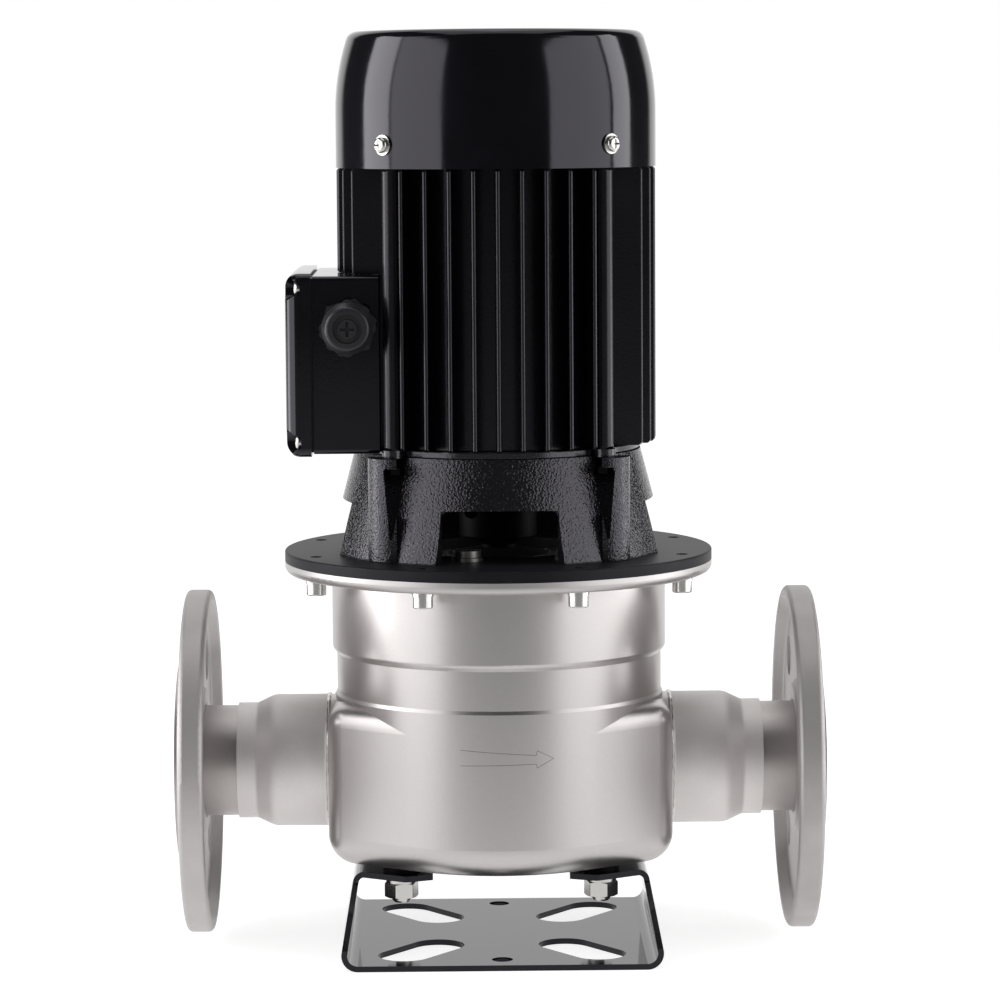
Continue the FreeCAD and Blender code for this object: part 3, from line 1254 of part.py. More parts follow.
def cover_screw_places(shape, radius):
    """Four copies of a piece made along +Z, pointing outward from the cover's side."""
    radial = shape.copy()
    radial.rotate(ORIGIN, Y_AXIS, 90)
    radial.translate(at(radius, 0, COVER_SCREW_Z))
    return in_corners(turned_by(radial, 90 - POST_ANGLE_DEG))


def fan_cover_screws():
    """Pan screws with a washer under each head."""
    screw = pan_screw(COVER_SCREW_R, COVER_SCREW_LENGTH, COVER_SCREW_HEAD_R, COVER_SCREW_HEAD_H)
    washer = tube(COVER_WASHER_R, COVER_SCREW_R + SEAT, 0, COVER_WASHER_T)
    side = FAN_COVER_R + SEAT
    return cover_screw_places(screw, side + COVER_WASHER_T) + cover_screw_places(washer, side)


# Terminal box


def box_corner_places(shape, x):
    """Four copies of a piece made along +Z, pointing to -X, at the cover's screw places."""
    places = [(y, z) for y in (-BOX_SCREW_Y, BOX_SCREW_Y) for z in (-BOX_SCREW_HALF_Z, BOX_SCREW_HALF_Z)]
    return [to_minus_x(shape, -x, y, BOX_MID_Z + z) for y, z in places]


def terminal_box():
    outside = block(-BOX_FACE_X, -BOX_ROOT_X, -BOX_HALF_Y, BOX_HALF_Y, BOX_Z, BOX_TOP_Z)
    outside = rounded_edges(outside, BOX_EDGE_R, lambda edge: runs_along(edge, X_AXIS))
    wall = BOX_WALL
    cavity = block(-BOX_FACE_X - 1, -BOX_ROOT_X - BOX_SEAT_T, wall - BOX_HALF_Y, BOX_HALF_Y - wall,
                   BOX_Z + wall, BOX_TOP_Z - wall)
    cavity = cavity.cut(rod(CAVITY_BACK_R, 0, FAR))
    bosses = box_corner_places(rod(BOX_BOSS_R, -BOX_BOSS_H, 0), BOX_FACE_X)
    cavity = cavity.cut(bosses)
    standoffs = [side_rod(STANDOFF_R, -BOARD_X, -CAVITY_BACK_R + 1, 0, z) for z in board_screw_levels()]
    shell = outside.cut(cavity).fuse(standoffs)
    cutters = [rod(BOX_BACK_R, 0, FAR), side_rod(CABLE_WAY_R, -BOARD_X + 1, 0, 0, BOX_MID_Z)]
    gland_hole = gland_place(rod(GLAND_THREAD_R + SEAT, -wall - 1, 1))
    cutters.append(gland_hole)
    cutters += box_corner_places(rod(BOX_SCREW_R + SEAT, -11.0, 1), BOX_FACE_X)
    cutters += box_screw_places(rod(BOX_SCREW_R + SEAT, -SEAT_HOLE_DEPTH, 1))
    cutters += box_screw_places(rod(BOX_SCREW_HEAD_R + RUNNING, 0, BOX_SCREW_HEAD_H))
    cutters.append(rod(SHIELD_RIM_R + RUNNING, 0, FRAME_Z))
    cutters += board_screw_holes(-BOARD_X + BOARD_SCREW_BITE + 1.0)
    return shell.cut(cutters)


def box_screws():
    """Screws that hold the box to the frame and the terminal board in the box."""
    seat_screw = pan_screw(BOX_SCREW_R, SEAT_SCREW_LENGTH, BOX_SCREW_HEAD_R, BOX_SCREW_HEAD_H)
    board_screw = pan_screw(BOARD_SCREW_R, BOARD_T + BOARD_SCREW_BITE, BOARD_SCREW_HEAD_R, BOARD_SCREW_R)
    board_screws = [to_minus_x(board_screw, -BOARD_X - BOARD_T, 0, z) for z in board_screw_levels()]
    return box_screw_places(seat_screw) + board_screws


def board_screw_levels():
    return (BOX_MID_Z - BOARD_SCREW_Z, BOX_MID_Z + BOARD_SCREW_Z)


def board_screw_holes(end_x):
    return [side_rod(BOARD_SCREW_R + SEAT, -FAR, end_x, 0, z) for z in board_screw_levels()]


def terminal_gasket():
    """Flat frame between box and cover, with an eye round each screw."""
    sheet, middle = [block(-COVER_BACK_X, -BOX_FACE_X, inset - BOX_HALF_Y, BOX_HALF_Y - inset,
                           BOX_Z + inset, BOX_TOP_Z - inset) for inset in GASKET_INSETS]
    eyes = box_corner_places(rod(BOX_BOSS_R, -1, GASKET_T + 1), BOX_FACE_X)
    holes = box_corner_places(rod(BOX_SCREW_R + SEAT, -1, GASKET_T + 1), BOX_FACE_X)
    return sheet.cut(middle.cut(eyes)).cut(holes)


def terminal_cover():
    """Box cover with rounded outer edges and an open notch round each corner screw."""
    low = BOX_Z - COVER_LIP
    high = BOX_TOP_Z + COVER_LIP
    cover = block(-COVER_FACE_X, -COVER_BACK_X, -COVER_HALF_Y, COVER_HALF_Y, low, high)
    cover = rounded_edges(cover, COVER_EDGE_R * 0.6, lambda edge: runs_along(edge, X_AXIS))
    cover = rounded_edges(cover, COVER_EDGE_R * 0.98, lambda edge: edge.BoundBox.XMax < -COVER_FACE_X + 0.1)
    hollow = block(-COVER_FACE_X + COVER_SHELL, -COVER_BACK_X + 1, COVER_EDGE_R - COVER_HALF_Y,
                   COVER_HALF_Y - COVER_EDGE_R, low + COVER_EDGE_R, high - COVER_EDGE_R)
    hollow = hollow.cut(box_corner_places(rod(NOTCH_R + 2.0, -2, 20), BOX_FACE_X))
    notches = box_corner_places(rod(NOTCH_R, BOX_SCREW_SEAT, FAR), BOX_FACE_X)
    holes = box_corner_places(rod(BOX_SCREW_R + BOLT_CLEARANCE, -1, FAR), BOX_FACE_X)
    return cover.cut([hollow] + notches + holes)


def terminal_cover_screws():
    screw = pan_screw(BOX_SCREW_R, BOX_SCREW_LENGTH, BOX_SCREW_HEAD_R, BOX_SCREW_HEAD_H)
    return box_corner_places(screw, BOX_FACE_X + BOX_SCREW_SEAT)


def terminal_places():
    rows = (-TERMINAL_PITCH_Z / 2, TERMINAL_PITCH_Z / 2)
    return [(k * TERMINAL_PITCH_Y, z) for k in (-1, 0, 1) for z in rows]


def terminal_board():
    board = block(-BOARD_X - BOARD_T, -BOARD_X, -BOARD_HALF_Y, BOARD_HALF_Y,
                  BOX_MID_Z - BOARD_HALF_Z, BOX_MID_Z + BOARD_HALF_Z)
    face = -BOARD_X - BOARD_T
    fence = block(face - FENCE_H, face + 0.5, -0.8, 0.8, BOX_MID_Z - FENCE_HALF_Z, BOX_MID_Z + FENCE_HALF_Z)
    fences = [moved(fence, 0, y) for y in (-TERMINAL_PITCH_Y / 2, TERMINAL_PITCH_Y / 2)]
    holes = [side_rod(TERMINAL_R + SEAT, -FAR, 0, y, BOX_MID_Z + z) for y, z in terminal_places()]
    holes += board_screw_holes(0)
    return board.fuse(fences).cut(holes)


def terminal_studs():
    """Studs of the board, each with its nut on the strap."""
    stud = rod(TERMINAL_R, -BOARD_T, TERMINAL_LENGTH)
    nut = hex_nut(TERMINAL_NUT_AF, TERMINAL_R + SEAT, LINK_T, LINK_T + TERMINAL_NUT_H)
    face = -BOARD_X - BOARD_T
    return [to_minus_x(piece, face, y, BOX_MID_Z + z) for piece in (stud, nut) for y, z in terminal_places()]


def terminal_links():
    """Brass straps that join each pair of studs."""
    links = []
    x = -BOARD_X - BOARD_T
    half_z = TERMINAL_PITCH_Z / 2 + LINK_W / 2
    for k in (-1, 0, 1):
        y = k * TERMINAL_PITCH_Y
        strap = block(x - LINK_T, x, y - LINK_W / 2, y + LINK_W / 2, BOX_MID_Z - half_z, BOX_MID_Z + half_z)
        links.append(strap.cut([side_rod(TERMINAL_R + SEAT, -FAR, 0, place_y, BOX_MID_Z + z)
                                for place_y, z in terminal_places()]))
    return links


# Cable gland, made along +Z from the box wall and laid towards -Y


def gland_place(shape):
    return to_minus_y(shape, -GLAND_X, GLAND_WALL_Y, GLAND_Z)


def gland_body():
    body = turned_by(hexagon(GLAND_HEX_AF, 0, GLAND_HEX_T), 15)
    thread = rod(GLAND_THREAD_R, -BOX_WALL - LOCK_NUT_H - 2.0, 0)
    sleeve = rod(GLAND_SLEEVE_R, GLAND_HEX_T, GLAND_HEX_T + GLAND_SLEEVE_L)
    bore = rod(GLAND_BORE_R, 1.0, FAR).fuse(rod(GLAND_PLUG_R, -FAR, 2.0))
    return gland_place(body.fuse([thread, sleeve]).cut(bore))


def gland_lock_nut():
    nut = hex_nut(LOCK_NUT_AF, GLAND_THREAD_R + SEAT, -BOX_WALL - LOCK_NUT_H, -BOX_WALL)
    return gland_place(turned_by(nut, 30))


def gland_cap():
    """Domed cap with grip lobes round its rim."""
    z0 = GLAND_HEX_T + SEAT
    rim_top = z0 + GLAND_CAP_RIM_L
    top = z0 + GLAND_CAP_L
    dome = turned([(0, z0), (GLAND_CAP_RIM_R - 1.0, z0), (GLAND_CAP_RIM_R - 1.0, rim_top, 2.0),
                   (GLAND_CAP_FRONT_R, top, 1.8), (0, top)])
    lobe = rod(2.6, z0, rim_top - 0.8, GLAND_CAP_RIM_R - 2.6)
    inside = turned([(0, z0), (GLAND_SLEEVE_R + SEAT, z0), (GLAND_SLEEVE_R + SEAT, z0 + GLAND_SLEEVE_L + 0.3),
                     (GLAND_MOUTH_R, top - 2.5), (GLAND_MOUTH_R, top), (0, top)])
    return gland_place(dome.fuse(around(lobe, GLAND_CAP_LOBES)).cut(inside))


def gland_seal():
    top = GLAND_HEX_T + GLAND_CAP_L - 1.2
    outer = GLAND_MOUTH_R - SEAT
    ring = tube(outer, GLAND_PLUG_R + SEAT, 1.0, top)
    return gland_place(ring)


def gland_plug():
    """Blanking plug in the seal, with a cross in its face."""
    top = GLAND_HEX_T + GLAND_CAP_L - 0.6
    plug = rod(GLAND_PLUG_R, 0.0, top)
    reach = GLAND_PLUG_R * 0.75
    bar = block(-reach, reach, -GLAND_CROSS_W / 2, GLAND_CROSS_W / 2, top - 1.2, top)
    return gland_place(plug.cut(bar.fuse(turned_by(bar, 90))))


# Writing the parts


def save(name, shape):
    solids = []
    for piece in shape if isinstance(shape, (list, tuple)) else [shape]:
        solids += piece.Solids
    result = solids[0] if len(solids) == 1 else Part.makeCompound(solids)
    result.exportStep(os.path.join("parts", name + ".step"))


def all_parts():
    suction_reducer, discharge_reducer = on_both_sides(nozzle_reducer())
    suction_stub, discharge_stub = on_both_sides(nozzle_stub())
    suction_flange, discharge_flange = on_both_sides(nozzle_flange())
    parts = {"suction_reducer": suction_reducer, "discharge_reducer": discharge_reducer,
             "suction_stub": suction_stub, "discharge_stub": discharge_stub,
             "suction_flange": suction_flange, "discharge_flange": discharge_flange}
    makers = [base_bracket, casing_studs, stud_spacers, base_nuts, pump_casing, casing_ring, casing_bolts,
              vent_plugs, cover_o_ring, pump_cover, suction_elbow, wear_ring, impeller, impeller_nut,
              seal_seat, seal_seat_cup, seal_ring, seal_bellows, stub_shaft, coupling_screws, shaft_keys,
              slinger, motor_shaft, bearing_inner_rings, bearing_outer_rings, bearing_ball_sets, motor_stool,
              motor_frame, lower_end_shield, shaft_lip_seal, upper_end_shield, wave_washer, tie_bolts,
              stator_core, stator_windings, rotor_core, rotor_end_rings, fan, fan_circlip, fan_cover,
              fan_cover_screws, terminal_box, box_screws, terminal_gasket, terminal_cover,
              terminal_cover_screws, terminal_board, terminal_studs, terminal_links, gland_body,
              gland_lock_nut, gland_cap, gland_seal, gland_plug]
    parts.update({maker.__name__: maker() for maker in makers})
    return parts


os.makedirs("parts", exist_ok=True)
for part_name, part_shape in all_parts().items():
    save(part_name, part_shape)
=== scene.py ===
import json
import math

import bmesh
import bpy
from mathutils import Matrix, Vector


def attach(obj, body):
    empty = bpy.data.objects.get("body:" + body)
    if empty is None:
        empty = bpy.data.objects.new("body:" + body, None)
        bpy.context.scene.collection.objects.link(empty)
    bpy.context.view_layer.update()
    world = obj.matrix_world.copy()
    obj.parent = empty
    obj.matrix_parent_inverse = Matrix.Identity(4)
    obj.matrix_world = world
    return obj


MM = 0.001

# The photograph's camera, in metres and radians
CAMERA_PLACE = (-0.0178, -1.66336, 0.3643)
CAMERA_TILT = 0.10215
CAMERA_PAN = 0.01123
CAMERA_ROLL = 0.00653
LENS_MM = 137.75
SENSOR_MM = 36

# Tall softboxes: first and last azimuth in degrees, and radiance. An azimuth is measured round the pump
# from the camera, + towards the discharge side.
SOFTBOXES = {
    "softbox_left": (-80, -37, 1.95),
    "softbox_left_rear": (-107, -80, 4.2),
    "softbox_right": (35, 90, 1.8),
    "softbox_right_rear": (90, 109, 3.3),
}
SOFTBOX_DISTANCE = 1.15
SOFTBOX_HEIGHT = 1.15
SOFTBOX_CENTRE_Z = 0.50
TOP_SOFTBOX_PLACE = (0, -0.1, 1.5)
TOP_SOFTBOX_WIDTH = 1.2
TOP_SOFTBOX_DEPTH = 1.0
TOP_SOFTBOX_RADIANCE = 0.9

# Room and floor. The floor glows white behind the pump and less in front of it; in a disc round the pump its
# glow is lowered, a painted shade under which the real shadow shows.
DIM_ROOM = 0.045
BACKDROP_HALF_ANGLE = 35
BACKDROP_BLUR = 0.06
FLOOR_SHADE = 0.55
FLOOR_ROUGHNESS = 0.9
FLOOR_HALF_WIDTH = 4.0
FRONT_FLOOR_GLOW = 0.25
FRONT_FLOOR_Y = -0.45
BACK_FLOOR_Y = 0.05
SHADOW_GLOW = 0.82
SHADOW_CORE_R = 0.16
SHADOW_EDGE_R = 0.42

# Pump sizes that the finishes and the dressed pieces follow, in millimetres
CASING_R = 71.6
DISC_TOP_Z = 173.2
PORT_Z = 79.8
PAD_X = 74.5
REDUCER_R = 28.85

# Flow arrow, in millimetres. Each stroke runs from x, z to x, z, measured from the arrow's middle.
ARROW_Z = 91.0
ARROW_LINE = 0.22
ARROW_RISE = 0.03
ARROW_SINK = -0.05
ARROW_TAIL_X = -17.5
ARROW_NECK_X = 14.8
ARROW_BARB_X = 15.2
ARROW_TIP_X = 22.5
ARROW_STROKES = [
    (ARROW_TAIL_X, 4.0, ARROW_NECK_X, 1.6),
    (ARROW_TAIL_X, -2.7, ARROW_NECK_X, -2.1),
    (ARROW_NECK_X, 1.6, ARROW_BARB_X, 3.6),
    (ARROW_BARB_X, 3.6, ARROW_TIP_X, 0.0),
    (ARROW_TIP_X, 0.0, ARROW_BARB_X, -3.8),
    (ARROW_BARB_X, -3.8, ARROW_NECK_X, -2.1),
]

# Weld round each nozzle
WELD_BEAD = 0.9
WELD_RIPPLES = 30
WELD_RIPPLE_SHARE = 0.10
WELD_STEPS = 180
WELD_SIDES = 8


# Node helpers

def add(tree, kind, values=None, **settings):
    """A node with its settings made and its sockets filled or wired."""
    node = tree.nodes.new(kind)
    for name, value in settings.items():
        setattr(node, name, value)
    for socket, value in (values or {}).items():
        wire(tree, node.inputs[socket], value)
    return node


def wire(tree, socket, value):
    """A socket takes a wire from another socket, or a plain value."""
    if isinstance(value, bpy.types.NodeSocket):
        tree.links.new(value, socket)
    else:
        socket.default_value = value


def reckon(tree, kind, first, second):
    """One arithmetic step between two values."""
    return add(tree, "ShaderNodeMath", {0: first, 1: second}, operation=kind).outputs[0]


def ramp(tree, value, start, end, low=0.0, high=1.0):
    """A value that goes from low to high while another goes from start to end."""
    node = add(tree, "ShaderNodeMapRange", {"Value": value, "From Min": start, "From Max": end,
                                            "To Min": low, "To Max": high})
    return node.outputs["Result"]


def between(tree, value, low, high):
    """A 0 to 1 value spread between two others."""
    return ramp(tree, value, 0.0, 1.0, low, high)


def mixed(tree, mask, first, second):
    """Two colours mixed by a mask."""
    node = add(tree, "ShaderNodeMix", data_type="RGBA")
    wire(tree, node.inputs[0], mask)
    wire(tree, node.inputs[6], first)
    wire(tree, node.inputs[7], second)
    return node.outputs[2]


def seat_of(tree, kind="Object"):
    """Where a point lies on its solid, or which way the surface faces there."""
    return add(tree, "ShaderNodeTexCoord").outputs[kind]


def along(tree, vector, axis):
    """One axis of a vector."""
    return add(tree, "ShaderNodeSeparateXYZ", {0: vector}).outputs[axis]


def noise(tree, vector, scale, detail, **values):
    """Cloudy noise from 0 to 1."""
    return add(tree, "ShaderNodeTexNoise", {"Vector": vector, "Scale": scale, "Detail": detail,
                                            **values}).outputs[0]


def effect_group(name, inputs, outputs):
    """A shader node group with named float or vector inputs and float outputs."""
    tree = bpy.data.node_groups.new(name, "ShaderNodeTree")
    for label, value in inputs.items():
        kind = "NodeSocketVector" if isinstance(value, tuple) else "NodeSocketFloat"
        socket = tree.interface.new_socket(name=label, in_out="INPUT", socket_type=kind)
        socket.default_value = value
    for label in outputs:
        tree.interface.new_socket(name=label, in_out="OUTPUT", socket_type="NodeSocketFloat")
    return tree, tree.nodes.new("NodeGroupInput"), tree.nodes.new("NodeGroupOutput")


# Effects that several finishes share

HANDLED_FROM = 0.8
HANDLED_FULL = 0.75
PIT_R = 0.45
PIT_SHARE = 0.35
GRIT_ROUGHNESS = 0.65


def make_drawn_grain():
    """Fine lines left by drawing or polishing, longer in one direction."""
    tree, given, made = effect_group("drawn_grain", {"Lines": (900.0, 900.0, 5000.0)}, ["Grain"])
    drawn = add(tree, "ShaderNodeVectorMath", {0: seat_of(tree), 1: given.outputs["Lines"]},
                operation="MULTIPLY")
    wire(tree, made.inputs["Grain"], noise(tree, drawn.outputs[0], 1.0, 3.0))
    return tree


def make_handling_marks():
    """Broad faint patches left by hands and cloths."""
    tree, given, made = effect_group("handling_marks", {"Size": 30.0, "Cover": 0.5}, ["Marks"])
    patches = noise(tree, seat_of(tree), given.outputs["Size"], 5.0)
    low = reckon(tree, "SUBTRACT", HANDLED_FROM, given.outputs["Cover"])
    wire(tree, made.inputs["Marks"], ramp(tree, patches, low, HANDLED_FULL))
    return tree


def make_cast_skin():
    """Lumps and pits of a sand-cast surface."""
    tree, given, made = effect_group("cast_skin", {"Grit": 900.0, "Pits": 260.0, "Detail": 4.0},
                                     ["Height", "Hollow"])
    place = seat_of(tree)
    grit = noise(tree, place, given.outputs["Grit"], given.outputs["Detail"], Roughness=GRIT_ROUGHNESS)
    cells = add(tree, "ShaderNodeTexVoronoi", {"Vector": place, "Scale": given.outputs["Pits"]})
    hollow = ramp(tree, cells.outputs["Distance"], 0.0, PIT_R, 1.0, 0.0)
    low = reckon(tree, "MULTIPLY", hollow, PIT_SHARE)
    wire(tree, made.inputs["Height"], reckon(tree, "SUBTRACT", grit, low))
    wire(tree, made.inputs["Hollow"], hollow)
    return tree


def make_turned_rings():
    """Tool lines round the shaft axis, as a lathe leaves them."""
    tree, given, made = effect_group("turned_rings", {"Pitch": 2600.0}, ["Rings"])
    place = add(tree, "ShaderNodeSeparateXYZ", {0: seat_of(tree)})
    flat = add(tree, "ShaderNodeCombineXYZ", {"X": place.outputs["X"], "Y": place.outputs["Y"]})
    radius = add(tree, "ShaderNodeVectorMath", {0: flat.outputs[0]}, operation="LENGTH").outputs["Value"]
    profile = add(tree, "ShaderNodeCombineXYZ", {"X": radius, "Z": place.outputs["Z"]})
    wire(tree, made.inputs["Rings"], noise(tree, profile.outputs[0], given.outputs["Pitch"], 2.0))
    return tree


GRAIN = make_drawn_grain()
MARKS = make_handling_marks()
SKIN = make_cast_skin()
RINGS = make_turned_rings()


def effect(tree, group, **values):
    """One of the shared effects, placed in a material with its own values."""
    node = add(tree, "ShaderNodeGroup", node_tree=group)
    for name, value in values.items():
        node.inputs[name].default_value = value
    return node


def start(name, metallic, **plain):
    """A new material with its surface shader and the plain values of that shader."""
    material = bpy.data.materials.new(name)
    material.use_nodes = True
    tree = material.node_tree
    shader = tree.nodes["Principled BSDF"]
    shader.inputs["Metallic"].default_value = metallic
    for socket, value in plain.items():
        shader.inputs[socket.replace("_", " ")].default_value = value
    return material, tree, shader


def relief(tree, shader, height, depth_mm):
    """Bump of a real depth on a finish."""
    bump = add(tree, "ShaderNodeBump", {"Height": height, "Distance": depth_mm * MM})
    wire(tree, shader.inputs["Normal"], bump.outputs["Normal"])


def tint(red, green, blue):
    """A colour written as three linear values."""
    return (red, green, blue, 1.0)


def scaled(colour, factor, lift=0.0):
    """A colour made paler or darker, with its three values multiplied and lifted."""
    return tint(*[part * factor + lift for part in colour])


# Finishes. Colours are linear, a pitch or scale counts waves in a metre, and a depth is in millimetres.

COLD_SHEEN = tint(0.93, 0.90, 1.0)
GRAIN_GLOSS = 0.05
TOOLED_GLOSS = 0.06
HANDLED_GLOSS = 0.05
CASTING_SMOOTH_INDEX = 1.28
CASTING_INDEX = 1.60
CASTING_SMOOTH_RELIEF = 0.15
LEVEL_FROM = 0.8
LEVEL_FULL = 0.95
MACHINED_FROM = 0.6
MACHINED_FULL = 0.1


def handled_gloss(tree, base, marks):
    """Roughness that hand marks raise."""
    return reckon(tree, "ADD", base, reckon(tree, "MULTIPLY", marks, HANDLED_GLOSS))


def satin_metal(name, light, dark, rough, lines, depth=0.004, blotch=1.0):
    """Bare metal with a drawn grain and faint hand marks, which darken it by the blotch factor."""
    material, tree, shader = start(name, 1.0)
    grain = effect(tree, GRAIN, Lines=lines).outputs["Grain"]
    marks = effect(tree, MARKS, Size=22.0, Cover=0.42).outputs["Marks"]
    clean = mixed(tree, grain, tint(*dark), tint(*light))
    handled = mixed(tree, grain, scaled(dark, blotch), scaled(light, blotch))
    wire(tree, shader.inputs["Base Color"], mixed(tree, marks, clean, handled))
    base = between(tree, grain, rough - GRAIN_GLOSS, rough + GRAIN_GLOSS)
    wire(tree, shader.inputs["Roughness"], handled_gloss(tree, base, marks))
    relief(tree, shader, grain, depth)
    return material


def turned_metal(name, light, dark, rough, pitch, depth=0.006):
    """Metal faced on a lathe."""
    material, tree, shader = start(name, 1.0)
    rings = effect(tree, RINGS, Pitch=pitch).outputs["Rings"]
    marks = effect(tree, MARKS, Size=28.0, Cover=0.4).outputs["Marks"]
    wire(tree, shader.inputs["Base Color"], mixed(tree, rings, tint(*dark), tint(*light)))
    base = between(tree, rings, rough - GRAIN_GLOSS, rough + TOOLED_GLOSS)
    wire(tree, shader.inputs["Roughness"], handled_gloss(tree, base, marks))
    relief(tree, shader, rings, depth)
    return material


def black_coat(name, shade, rough, peel, peel_depth, marks_size=18.0, index=1.5):
    """Black paint or plastic: a near-black with orange peel and hand marks."""
    material, tree, shader = start(name, 0.0, IOR=index, Specular_Tint=COLD_SHEEN)
    marks = effect(tree, MARKS, Size=marks_size, Cover=0.4).outputs["Marks"]
    skin = effect(tree, SKIN, Grit=peel, Pits=peel * 0.4)
    wire(tree, shader.inputs["Base Color"], mixed(tree, marks, tint(*shade), scaled(shade, 1.6, 0.001)))
    wire(tree, shader.inputs["Roughness"], between(tree, marks, rough, rough + 0.05))
    relief(tree, shader, skin.outputs["Height"], peel_depth)
    return material


def cast_metal(name, light, dark, rough, grit, pits, depth):
    """Sand-cast metal with pits darker than the skin."""
    material, tree, shader = start(name, 0.85)
    skin = effect(tree, SKIN, Grit=grit, Pits=pits)
    marks = effect(tree, MARKS, Size=40.0, Cover=0.45).outputs["Marks"]
    speck = reckon(tree, "MULTIPLY", skin.outputs["Hollow"], 0.6)
    wire(tree, shader.inputs["Base Color"], mixed(tree, speck, tint(*light), tint(*dark)))
    wire(tree, shader.inputs["Roughness"], between(tree, marks, rough, rough + 0.12))
    relief(tree, shader, skin.outputs["Height"], depth)
    return material


def machined_areas(tree):
    """1 on level upper faces and on the stool's disc, which are machined before the enamel, else 0."""
    level = ramp(tree, along(tree, seat_of(tree, "Normal"), "Z"), LEVEL_FROM, LEVEL_FULL)
    disc = ramp(tree, along(tree, seat_of(tree), "Z"), (DISC_TOP_Z + MACHINED_FROM) * MM,
                (DISC_TOP_Z + MACHINED_FULL) * MM)
    return reckon(tree, "MAXIMUM", level, disc)


def black_casting(name, shade, rough, grit, pits, depth, flat_rough):
    """Black enamel over a sand casting, duller and smoother where it is machined."""
    material, tree, shader = start(name, 0.0, Specular_Tint=COLD_SHEEN)
    flat = machined_areas(tree)
    wire(tree, shader.inputs["IOR"], between(tree, flat, CASTING_INDEX, CASTING_SMOOTH_INDEX))
    skin = effect(tree, SKIN, Grit=grit, Pits=pits, Detail=1.0)
    marks = effect(tree, MARKS, Size=35.0, Cover=0.45).outputs["Marks"]
    wire(tree, shader.inputs["Base Color"], mixed(tree, marks, tint(*shade), scaled(shade, 1.7, 0.002)))
    gloss = between(tree, skin.outputs["Hollow"], rough, rough + 0.15)
    wire(tree, shader.inputs["Roughness"], between(tree, flat, gloss, flat_rough))
    smoothing = between(tree, flat, 1.0, CASTING_SMOOTH_RELIEF)
    relief(tree, shader, reckon(tree, "MULTIPLY", skin.outputs["Height"], smoothing), depth)
    return material


def plain_solid(name, light, dark, rough, metallic=0.0, grit=1800.0, depth=0.01):
    """Moulded rubber, carbon, ceramic, enamel or plastic with a fine moulded skin."""
    material, tree, shader = start(name, metallic)
    skin = effect(tree, SKIN, Grit=grit, Pits=grit * 0.3)
    wire(tree, shader.inputs["Base Color"], mixed(tree, skin.outputs["Hollow"], tint(*light), tint(*dark)))
    wire(tree, shader.inputs["Roughness"], between(tree, skin.outputs["Hollow"], rough, rough + 0.08))
    relief(tree, shader, skin.outputs["Height"], depth)
    return material


